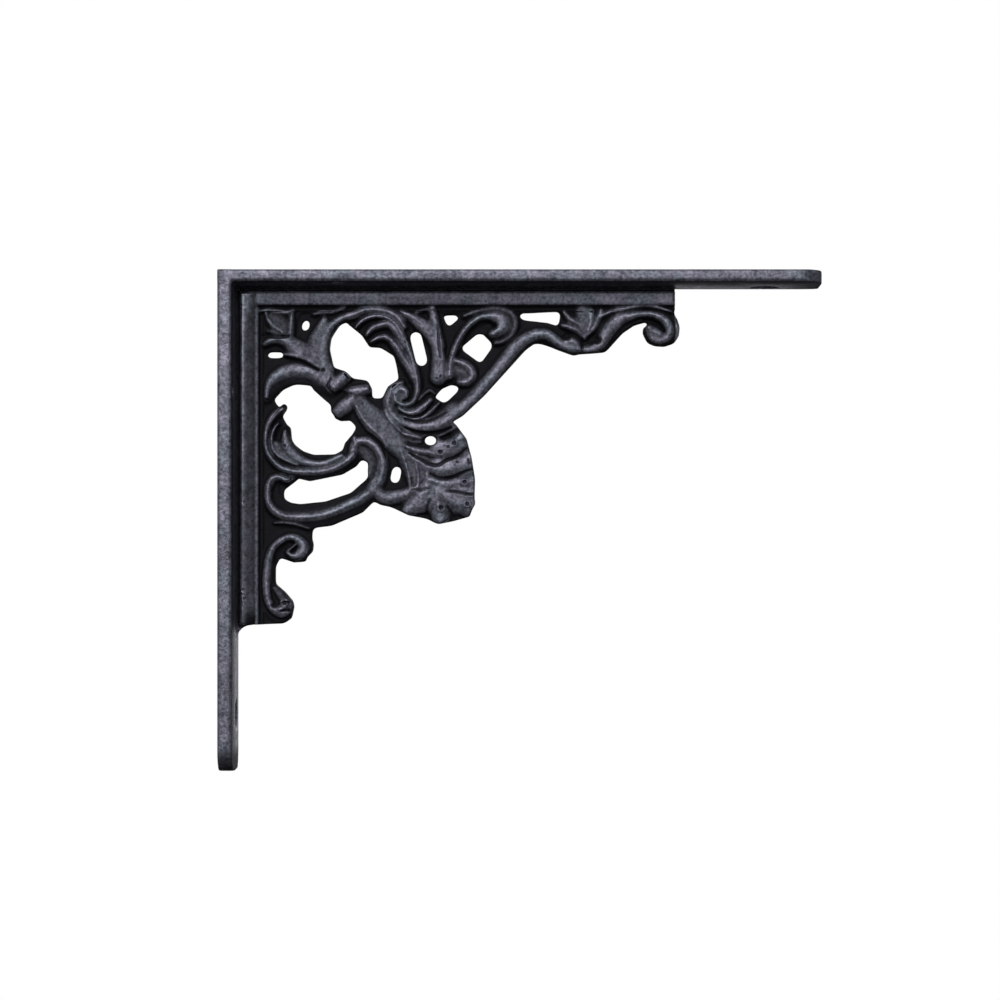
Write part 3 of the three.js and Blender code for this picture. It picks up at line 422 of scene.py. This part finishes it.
# %% Pits and small holes of the casting: out, down, radius, depth, and the height of the lip round it
PITS = [
    (15.4, 15.7, 0.51, 0.9, 0.1),
    (44, 17.9, 0.38, 0.6, 0.1),
    (45.2, 17.2, 0.35, 0.5, 0.1),
    (45, 36.4, 0.51, 0.8, 0.15),
    (46, 34.9, 0.35, 0.5, 0.1),
    (47, 35.1, 0.38, 0.6, 0.1),
    (48.5, 34.1, 0.51, 0.7, 0.15),
    (51.2, 44, 0.51, 0.8, 0.4),
    (51.8, 49.5, 0.51, 0.8, 0.4),
    (45.2, 50.5, 0.56, 0.8, 0.35),
    (49.3, 38.9, 0.35, 0.5, 0.1),
    (5.6, 74.5, 0.56, 1.1, 0.1),
    (2.8, 75.3, 0.66, 0.9, 0.1),
    (7.5, 59.3, 0.66, 1, 0),
    (58.6, 4.5, 0.81, 1.5, 0.1),
    (57.6, 3.7, 0.56, 0.9, 0),
    (101.1, 5.3, 0.61, 1, 0),
    (77.1, 7.3, 1.14, 1, 0),
    (84.7, 8.1, 1.14, 1.1, 0),
    (5.6, 34.9, 0.4, 0.6, 0.1),
    (25.3, 24.3, 0.35, 0.5, 0.05),
    (37.9, 43, 0.35, 0.5, 0.05),
    (37.9, 44, 0.3, 0.4, 0.05),
    (36.9, 7.8, 0.35, 0.5, 0.05),
    (36.1, 8.8, 0.35, 0.5, 0.05),
    (0.5, 48.8, 0.3, 0.4, 0.05),
    (6.1, 53.1, 0.3, 0, 0.15),
    (-4.5, 49.3, 0.4, 0.4, 0.1),
    (-4.8, 71.3, 0.4, 0.5, 0.2),
    (-3.5, 72.3, 0.48, 0.6, 0.2),
    (-4.5, 73.5, 0.38, 0.4, 0.15),
    (54.8, -1.5, 0.35, 0.35, 0.05),
    (56.6, -1.5, 0.3, 0.3, 0.05),
    (19.7, 21.2, 0.35, 0.4, 0.05),
]

# %% All the ridges together
RIDGES = (CORNER_LEAF + BUDS + UPPER_SCROLL + SPLIT_LEAF + DIAGONAL_LIMB + SHELF_SCROLL + STEM_AND_SHELL
          + WALL_SCROLLS + FOOT_SCROLL)
print(len(RIDGES), "ridges")

# %% [markdown]
# ## A close skin of small faces
#
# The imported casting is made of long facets, and nothing fine can be shaped in them. Subdividing would keep
# every facet's long slivers, so the copy is remeshed with voxels instead: the Remesh modifier fills
# the solid with cubes of a given size and lays an even skin of small quads over it. It also rounds
# every sharp arris by about one voxel, which is what sand does to iron.

# %% Copy the casting, join its loose triangles, and remesh it
VOXEL = 0.3 * MM
WELD = 0.001 * MM


def only(*objects):
    """Select these objects alone, the first one active."""
    bpy.ops.object.select_all(action="DESELECT")
    for item in objects:
        item.select_set(True)
    bpy.context.view_layer.objects.active = objects[0]


def apply_modifier(piece, kind, **settings):
    """Add one modifier to a piece and apply it at once."""
    only(piece)
    modifier = piece.modifiers.new(kind.title(), kind)
    for name, value in settings.items():
        setattr(modifier, name, value)
    bpy.ops.object.modifier_apply(modifier=modifier.name)


only(frame["nodes"]["bracket_casting"])
bpy.ops.object.duplicate()
iron = bpy.context.view_layer.objects.active
bpy.ops.object.parent_clear(type="CLEAR_KEEP_TRANSFORM")
iron.name = "cast_iron_bracket"
iron.data.materials.clear()
bpy.ops.object.mode_set(mode="EDIT")
bpy.ops.mesh.select_all(action="SELECT")
bpy.ops.mesh.remove_doubles(threshold=WELD)
bpy.ops.object.mode_set(mode="OBJECT")
apply_modifier(iron, "REMESH", mode="VOXEL", voxel_size=VOXEL, adaptivity=0.0)
print("skin:", len(iron.data.vertices), "points")

# %% [markdown]
# ## Rounding the ridges
#
# By hand this would be an hour in sculpt mode. The ridges are known as curves, so the same strokes are
# worked out instead: for each point of the skin, the nearest place on each ridge's centre line gives how
# far across the ridge the point lies, from 0 on the crest to 1 at the edge, and the style gives the height
# there. Where ridges meet, the higher one wins, which leaves a crisp crease between them. Only points on
# the carved faces move, straight out from the web's middle plane, so the outline stays as it was cast.

# %% Heights across a ridge
WALL_KEPT_BELOW = 0.7 * MM
FACE_STARTS_AT = 1.1 * MM
GROUND_HALF = 2.0 * MM
WEB_HALF = 4.1 * MM
BLEND = 0.12 * MM
CREST_SOFTNESS = 0.25


def skin_points(piece):
    """The piece's points as an array of X, Y and Z."""
    flat = np.empty(len(piece.data.vertices) * 3)
    piece.data.vertices.foreach_get("co", flat)
    return flat.reshape(-1, 3)


def skin_normals(piece):
    flat = np.empty(len(piece.data.vertices) * 3)
    piece.data.vertices.foreach_get("normal", flat)
    return flat.reshape(-1, 3)


def set_skin_points(piece, points):
    piece.data.vertices.foreach_set("co", points.ravel())
    piece.data.update()


def ramp(values, low, high):
    """0 below low, 1 above high, and a smooth rise between them."""
    t = np.clip((values - low) / (high - low), 0, 1)
    return t * t * (3 - 2 * t)


def across(x, z, points):
    """Which places a drawn stroke covers, and how far across it they lie: 0 on its middle, 1 at its edge."""
    run = drawn_curve(points)
    reach = run[:, 2].max()
    near = np.flatnonzero((x > run[:, 0].min() - reach) & (x < run[:, 0].max() + reach)
                          & (z > run[:, 1].min() - reach) & (z < run[:, 1].max() + reach))
    share = np.full(len(near), np.inf)
    px, pz = x[near], z[near]
    for (ax, az, ar), (bx, bz, br) in zip(run, run[1:]):
        ux, uz = bx - ax, bz - az
        t = np.clip(((px - ax) * ux + (pz - az) * uz) / max(ux * ux + uz * uz, 1e-18), 0, 1)
        gap = np.hypot(px - ax - t * ux, pz - az - t * uz)
        share = np.minimum(share, gap / (ar + t * (br - ar)))
    inside = share < 1
    return near[inside], share[inside]


def crest_profile(share, roundness):
    """1 on the crest and 0 at the edge. The very top is always a little round."""
    bent = (share**2 + CREST_SOFTNESS**2) ** (roundness / 2) - CREST_SOFTNESS**roundness
    return 1 - bent / ((1 + CREST_SOFTNESS**2) ** (roundness / 2) - CREST_SOFTNESS**roundness)


def blended_heights(x, z, ground, ridges):
    """The ground with every ridge laid over it. Where forms meet, a small fillet softens the crease."""
    height = ground.copy()
    for style, points in ridges:
        places, share = across(x, z, points)
        ridge = style["edge"] + (style["crest"] - style["edge"]) * crest_profile(share, style["roundness"])
        below = height[places]
        gap = np.abs(ridge - below)
        height[places] = np.maximum(ridge, below) + BLEND * np.log1p(np.exp(-gap / BLEND))
    return height


# %% Round every ridge of the skin
points = skin_points(iron)
depth = np.abs(points[:, 1])
side = np.sign(points[:, 1])
in_web = (depth < WEB_HALF) & (depth > WALL_KEPT_BELOW) & (points[:, 0] > field_left - 0.85 * MM)
in_web &= points[:, 2] < field_top + 0.5 * MM
web = np.flatnonzero(in_web)
old = depth[web]
carved = blended_heights(points[web, 0], points[web, 2], np.minimum(old, GROUND_HALF), RIDGES)
facing = np.abs(skin_normals(iron)[web, 1])
share = ramp(old, WALL_KEPT_BELOW, FACE_STARTS_AT) * ramp(facing, 0.08, 0.25)
points[web, 1] = side[web] * np.minimum(old + share * (carved - old), 4 * MM)
set_skin_points(iron, points)
print("rounded", int((share > 0).sum()), "points")

# %% Soften the casting
apply_modifier(iron, "SMOOTH", factor=0.5, iterations=4)

# %% [markdown]
# ## Rounding the outline
#
# The openings of the real web have no corners either: the pattern maker's file rounds them. A point that
# moves to the middle of its neighbours, again and again, does the same. Here each point may only move in
# the plane of the web, so the height of the ridges stays.

# %% Round the outline of the web
OUTLINE_ROUNDS = 9


def skin_edges(piece):
    flat = np.empty(len(piece.data.edges) * 2, dtype=np.int32)
    piece.data.edges.foreach_get("vertices", flat)
    return flat.reshape(-1, 2)


def smoothed(values, edges, rounds):
    """Each value averaged with its neighbours along the edges, again and again."""
    count = np.bincount(edges.ravel(), minlength=len(values))[:, None]
    for _ in range(rounds):
        total = np.zeros_like(values)
        for axis in range(values.shape[1]):
            total[:, axis] = (np.bincount(edges[:, 0], values[edges[:, 1], axis], len(values))
                              + np.bincount(edges[:, 1], values[edges[:, 0], axis], len(values)))
        values = 0.5 * values + 0.5 * total / np.maximum(count, 1)
    return values


points = skin_points(iron)
in_plane = smoothed(points[:, [0, 2]], skin_edges(iron), OUTLINE_ROUNDS) - points[:, [0, 2]]
free = ramp(points[:, 0], field_left, field_left + 1.5 * MM) * (1 - ramp(points[:, 2], field_top - 1.5 * MM, field_top))
points[:, [0, 2]] += free[:, None] * in_plane
set_skin_points(iron, points)
print("outline moved by up to", round(float(np.abs(free[:, None] * in_plane).max()) / MM, 2), "mm")

# %% Cut the creases and pits, and let the wall border's face fall a little towards the web
BAND_FROM_FIELD = 5.2 * MM
BAND_WIDTH = 3.3 * MM
BAND_FALL = 0.45 * MM
points = skin_points(iron)
depth = np.abs(points[:, 1])
side = np.sign(points[:, 1])
face = np.flatnonzero((depth > FACE_STARTS_AT) & (depth < WEB_HALF) & (np.abs(skin_normals(iron)[:, 1]) > 0.3))
lowered = np.zeros(len(face))
for cut, line in CUTS:
    places, share = across(points[face, 0], points[face, 2], line)
    lowered[places] = np.maximum(lowered[places], cut * MM * (1 - share**2))
for out, down, radius, cut, lip in PITS:
    gap = np.hypot(points[face, 0] - field_left - out * MM, points[face, 2] - field_top + down * MM) / (radius * MM)
    lowered += cut * MM * np.clip(1 - gap**2, 0, 1) - lip * MM * np.exp(-((gap - 1.5) / 0.45) ** 2)
lean = (points[face, 0] - field_left + BAND_FROM_FIELD) / BAND_WIDTH
on_band = (lean > 0) & (lean < 1.05) & (points[face, 2] < field_top + 4.2 * MM)
lowered += np.where(on_band, BAND_FALL * lean, 0)
points[face, 1] = side[face] * np.maximum(depth[face] - lowered, FACE_STARTS_AT)
set_skin_points(iron, points)
print("cut", int((lowered > 0.05 * MM).sum()), "points")
apply_modifier(iron, "SMOOTH", factor=0.4, iterations=1)

# %% [markdown]
# ## Thinning the skin
#
# The flat faces of the straps need few faces and the scrolls need many. The Decimate modifier collapses the
# edges that matter least first, so it spends the faces where the surface bends.

# %% Thin the skin and smooth its shading
MOST_TRIANGLES = 190_000
triangles = sum(len(face.vertices) - 2 for face in iron.data.polygons)
apply_modifier(iron, "DECIMATE", ratio=min(1, MOST_TRIANGLES / triangles))
points = np.clip(skin_points(iron), np.array(casting_low), np.array(casting_high))
set_skin_points(iron, points)
only(iron)
bpy.ops.object.shade_smooth()
print("thinned from", triangles, "to", sum(len(face.vertices) - 2 for face in iron.data.polygons))

# %% [markdown]
# ## Painted light and shade on the iron
#
# The sunk parts and the flanks of the ridges are painted near black, as painted shade in the hollows and on faces
# turned away from the front. The crests and the straps are painted grey, which is partly the rub of cloth and hands and
# partly painted light. Three attributes on the points carry that to the material. The first, painted light and rub, is
# near 0 on the ground of the web and on anything that is turned away from its face, middling on the crests, and 0.9 on
# the faces of the straps. The second, rub with painted highlight and painted shade, is above a half where the skin
# bulges and below it in a crease. `wall_band` marks the border's face beside the wall. To find the bulges the skin is
# smoothed in numbers, without moving it, and each point is compared with its smoothed place.

# %% Store the painted light and shade, the rub and the wall border on the points
RUB_AND_SHADE_ROUNDS = 24
RUB_AND_SHADE_DEPTH = 0.2 * MM


def store(piece, name, values):
    attribute = piece.data.attributes.new(name, "FLOAT", "POINT")
    attribute.data.foreach_set("value", values.astype(np.float32))


points = skin_points(iron)
edges = skin_edges(iron)
# Above a half on bulges, a painted highlight with some rub on the crests; below a half in creases, a painted shade.
bulge = ((points - smoothed(points, edges, RUB_AND_SHADE_ROUNDS)) * skin_normals(iron)).sum(axis=1)
wear = np.clip(0.5 + bulge / (2 * RUB_AND_SHADE_DEPTH), 0, 1)
wear = smoothed(wear[:, None], edges, 2)[:, 0]
depth = np.abs(points[:, 1])
inside = ((points[:, 0] > casting_low.x + 4.4 * MM) & (points[:, 2] < casting_high.z - 4.3 * MM)
          & (points[:, 0] < casting_low.x + 115.3 * MM) & (points[:, 2] > casting_low.z + 36 * MM))
facing = np.abs(skin_normals(iron)[:, 1])
from_wall = points[:, 0] - casting_low.x
from_shelf = casting_high.z - points[:, 2]
# Painted shade: near black on the sunk ground and on flanks turned away from the front, grey on the crests.
painted_light_and_rub = (0.03 + 0.72 * ramp(depth, 2.4 * MM, 3.8 * MM)) * (0.15 + 0.85 * ramp(facing, 0.45, 0.85))
on_face = depth > 3 * MM
wall_band = (from_wall < 9 * MM) & on_face & inside
# The wall border is set full here; the shader paints a highlight on its outer edge and shade over the rest of it.
painted_light_and_rub = np.where(wall_band, 1.0, painted_light_and_rub)
# Painted shade: the border under the shelf strap is set dimmer, as if in the shade of the straps.
painted_light_and_rub = np.where((from_wall > 9 * MM) & (from_shelf < 8 * MM) & on_face, 0.6, painted_light_and_rub)
# Painted shade: the recesses between the straps and the border are set near black.
recess = ((from_wall < 5.1 * MM) | (from_shelf < 4.9 * MM)) & (depth < 3.3 * MM)
painted_light_and_rub = np.where(recess, 0.03, painted_light_and_rub)
# On the straps: painted light on faces that look to the front, painted shade on the inner faces near their front edge.
inner = (from_wall > 3 * MM) & (from_shelf > 3 * MM)
turned = np.where(inner, 0.15 + 0.65 * ramp(points[:, 1], -10 * MM, -7 * MM), 0.7)
strap = np.where(facing > 0.6, 0.9, turned)
# Painted shade on the rounded end of the shelf strap.
strap *= 1 - 0.6 * ramp(from_wall, 149.5 * MM, 151 * MM)
painted_light_and_rub = np.where(inside, painted_light_and_rub, strap)
wear = np.where(inside, wear, 0.55)
store(iron, "wall_band", wall_band.astype(float))
store(iron, "painted_light_and_rub", painted_light_and_rub)
store(iron, "wear", wear)
print("wear: from", round(float(wear.min()), 2), "to", round(float(wear.max()), 2))

# %% [markdown]
# ## Bare cast iron
#
# The skin of a casting that has been cleaned and oiled or waxed is nearly black, and cool grey where it has been
# rubbed; here the black and the grey follow the painted light and shade above, so the grey is partly rub and partly
# painted light, and the black partly the bare iron and partly painted shade. Two noises make it uneven: a grain as
# coarse as the sand, and wide patches in which the grey leans to green or to violet. The grey parts reflect like metal,
# the rest hardly reflects at all, and a little bump from the same noises breaks up every highlight. The last lines
# paint shade on three places that the photograph shows darker than the rest: the wall border away from its outer edge,
# which keeps a painted highlight, its foot, and the end of the wall strap.

# %% Shader tools


class Amount:
    """A number that changes over a surface. Arithmetic on it adds Math nodes to its tree."""

    def __init__(self, tree, socket):
        self.tree = tree
        self.socket = socket

    def combine(self, operation, first, second):
        node = self.tree.nodes.new("ShaderNodeMath")
        node.operation = operation
        for place, value in enumerate((first, second)):
            if isinstance(value, Amount):
                self.tree.links.new(value.socket, node.inputs[place])
            else:
                node.inputs[place].default_value = value
        return Amount(self.tree, node.outputs[0])

    def __add__(self, other):
        return self.combine("ADD", self, other)

    def __radd__(self, other):
        return self.combine("ADD", other, self)

    def __sub__(self, other):
        return self.combine("SUBTRACT", self, other)

    def __rsub__(self, other):
        return self.combine("SUBTRACT", other, self)

    def __mul__(self, other):
        return self.combine("MULTIPLY", self, other)

    def __rmul__(self, other):
        return self.combine("MULTIPLY", other, self)

    def __pow__(self, other):
        return self.combine("POWER", self, other)


class Finish:
    """A new material, with one method that adds any node."""

    def __init__(self, name):
        self.material = bpy.data.materials.new(name)
        self.material.use_nodes = True
        self.tree = self.material.node_tree
        self.tree.nodes.clear()

    def node(self, kind, settings=None, **inputs):
        """Add a node: its settings first, then a value or a link for each named input."""
        node = self.tree.nodes.new("ShaderNode" + kind)
        for name, value in (settings or {}).items():
            setattr(node, name, value)
        for name, value in inputs.items():
            socket = node.inputs[name.replace("_", " ")]
            if isinstance(value, Amount):
                value = value.socket
            if isinstance(value, bpy.types.NodeSocket):
                self.tree.links.new(value, socket)
            else:
                socket.default_value = value
        return node

    def amount(self, node, output=0):
        return Amount(self.tree, node.outputs[output])

    def clamped(self, value):
        """The same number, kept between 0 and 1."""
        return self.amount(self.node("Clamp", Value=value))

    def ramp(self, value, low, high):
        """0 below low, 1 above high, and an even rise between them."""
        return self.clamped((value - low) * (1 / (high - low)))

    def mix(self, share, first, second):
        """A colour between two colours."""
        node = self.tree.nodes.new("ShaderNodeMix")
        node.data_type = "RGBA"
        for place, value in ((0, share), (6, first), (7, second)):
            if isinstance(value, Amount):
                value = value.socket
            if isinstance(value, bpy.types.NodeSocket):
                self.tree.links.new(value, node.inputs[place])
            else:
                node.inputs[place].default_value = value
        return node.outputs[2]


# %% The iron
GRAIN = 0.8 * MM
MOTTLE = 3.0 * MM
TINT_PATCH = 6.0 * MM
# The black where the painted light mask is low: painted shade in hollows and on turned-away flanks, and the bare iron's
# own black.
BARE_IRON_AND_SHADE_BLACK = (0.006, 0.006, 0.008, 1)
IRON_DARK = (0.075, 0.075, 0.098, 1)
IRON_GREEN = (0.252, 0.279, 0.332, 1)
IRON_VIOLET = (0.292, 0.275, 0.347, 1)

finish = Finish("cast_iron")
places = finish.node("TexCoord").outputs["Object"]
grain = finish.amount(finish.node("TexNoise", Vector=places, Scale=1 / GRAIN, Detail=2.0, Roughness=0.6))
mottle = finish.amount(finish.node("TexNoise", Vector=places, Scale=1 / MOTTLE, Detail=4.0, Roughness=0.6))
painted_light_and_rub = finish.amount(finish.node("Attribute", {"attribute_name": "painted_light_and_rub"}), 2)
wear = finish.amount(finish.node("Attribute", {"attribute_name": "wear"}), 2)
wall_band = finish.amount(finish.node("Attribute", {"attribute_name": "wall_band"}), 2)
where = finish.node("SeparateXYZ", Vector=places)
from_wall = finish.amount(where, 0) - casting_low.x
from_shelf = casting_high.z - finish.amount(where, 2)
# Painted light and shade: a painted highlight along the wall border's outer edge, painted shade over the rest of it and
# on its foot, and painted shade on the end of the wall strap.
near_corner = 1 - finish.ramp(from_shelf, 8 * MM, 15 * MM)
shaded = 0.65 * finish.ramp(from_wall - near_corner * 1.4 * MM, 5.7 * MM, 7.0 * MM)
shaded = shaded + 0.35 * finish.ramp(from_shelf, 84.5 * MM, 87.5 * MM)
painted_light_and_rub = painted_light_and_rub * (1 - wall_band * shaded) * (1 - 0.8 * finish.ramp(from_shelf, 119.5 * MM, 122.5 * MM))
# Painted light and shade with some rub: it sets how grey and how metallic the iron is, painted highlight on crests and
# front faces, painted shade elsewhere, broken by the mottle.
sheen_and_painted_light = finish.clamped(painted_light_and_rub * (0.65 + 0.6 * wear) * (0.75 + 0.4 * mottle))
speckle = finish.clamped((grain - 0.5) * 2.0 + (mottle - 0.5) * 1.2 + 0.45)
tint = finish.amount(finish.node("TexNoise", Vector=places, Scale=1 / TINT_PATCH, Detail=1.0))
pale = finish.mix(finish.clamped((tint - 0.5) * 4.0 + 0.5), IRON_GREEN, IRON_VIOLET)
metal = finish.mix(speckle, IRON_DARK, pale)
# Painted shade black where the painted light is low, grained grey iron where it is high.
colour = finish.mix(sheen_and_painted_light, BARE_IRON_AND_SHADE_BLACK, metal)
roughness = 0.8 - 0.36 * sheen_and_painted_light + (mottle - 0.5) * 0.15
bump = finish.node("Bump", Strength=0.8, Distance=0.14 * MM, Height=grain + mottle * 1.2)
shader = finish.node("BsdfPrincipled", Base_Color=colour, Metallic=sheen_and_painted_light * 0.9, Roughness=roughness,
                     Specular_IOR_Level=0.1, Normal=bump.outputs[0])
finish.node("OutputMaterial", Surface=shader.outputs[0])
iron.data.materials.append(finish.material)
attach(iron, "root")
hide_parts("bracket_casting")

# %% [markdown]
# ## Table, light and camera
#
# The photograph shows the bracket alone on pure white. A wide pale floor lies below it, under a white
# surround that only the camera sees. The main light is a large soft box behind the camera and a little
# above it: faces that look at the camera reflect it, and the flanks of the ridges reflect the dim room
# beside it, which draws their dark edges. Two boxes behind the bracket light the inner faces of the bare
# ends of the straps, and the others keep the sides and the back readable.

# %% The floor and the surround
FLOOR_DROP = 80 * MM
FLOOR_SIZE = 12.0

bpy.ops.object.select_all(action="DESELECT")
bpy.ops.mesh.primitive_plane_add(size=FLOOR_SIZE, location=(0, 0, casting_low.z - FLOOR_DROP))
floor = bpy.context.view_layer.objects.active
floor.name = "pale_floor"
bpy.ops.object.transform_apply(location=True, rotation=True, scale=True)
pale = Finish("pale_floor")
lit = pale.node("Emission", Color=(1, 1, 1, 1), Strength=1.0)
pale.node("OutputMaterial", Surface=lit.outputs[0])
floor.data.materials.append(pale.material)
floor.visible_glossy = False
floor.visible_diffuse = False

world = bpy.data.worlds.new("white_surround")
bpy.context.scene.world = world
world.use_nodes = True
sky = world.node_tree.nodes
sky.clear()
seen = sky.new("ShaderNodeLightPath")
seen_white = sky.new("ShaderNodeBackground")
seen_white.inputs["Strength"].default_value = 1.0
dim_room = sky.new("ShaderNodeBackground")
dim_room.inputs["Strength"].default_value = 0.1
either = sky.new("ShaderNodeMixShader")
output = sky.new("ShaderNodeOutputWorld")
for background in (seen_white, dim_room):
    background.inputs["Color"].default_value = (1, 1, 1, 1)
world.node_tree.links.new(seen.outputs["Is Camera Ray"], either.inputs[0])
world.node_tree.links.new(dim_room.outputs[0], either.inputs[1])
world.node_tree.links.new(seen_white.outputs[0], either.inputs[2])
world.node_tree.links.new(either.outputs[0], output.inputs["Surface"])

# %% The lights
middle = (casting_low + casting_high) / 2


def soft_box(name, offset, width, brightness):
    """A square light that faces the bracket. Brightness is what a mirror would show of it, with white at 1."""
    data = bpy.data.lights.new(name, "AREA")
    data.shape = "SQUARE"
    data.size = width
    data.energy = brightness * math.pi * width**2
    light = bpy.data.objects.new(name, data)
    light.location = middle + Vector(offset)
    light.rotation_euler = Vector(offset).to_track_quat("Z", "Y").to_euler()
    light.visible_camera = False
    bpy.context.scene.collection.objects.link(light)


soft_box("front_soft_box", (-0.3, -2.1, 1.0), 1.8, 4.8)
soft_box("back_soft_box", (0.4, 2.1, 0.8), 1.6, 3.2)
soft_box("left_soft_box", (-2.0, -0.2, 0.4), 1.0, 1.3)
soft_box("right_soft_box", (2.0, 0.2, 0.4), 1.0, 1.0)
soft_box("top_soft_box", (0.0, 0.0, 2.0), 1.2, 1.3)
soft_box("far_right_soft_box", (1.0, 1.3, -0.1), 0.8, 3.0)
soft_box("far_low_soft_box", (0.1, 1.3, -1.0), 0.8, 3.0)

# %% The camera
LENS_LENGTH = 92.88
SENSOR_WIDTH = 36.0
camera_data = bpy.data.cameras.new("camera")
camera_data.sensor_width = SENSOR_WIDTH
camera_data.lens = LENS_LENGTH
camera_data.shift_x = 0.05
camera_data.shift_y = 0.04
camera_data.clip_start = 0.01
camera = bpy.data.objects.new("camera", camera_data)
camera.location = (58.25 * MM, -656 * MM, -4.75 * MM)
camera.rotation_euler = (math.pi / 2, 0, 0)
bpy.context.scene.collection.objects.link(camera)
bpy.context.scene.camera = camera
bpy.context.scene.view_settings.view_transform = "Standard"

# %% Finish
import json
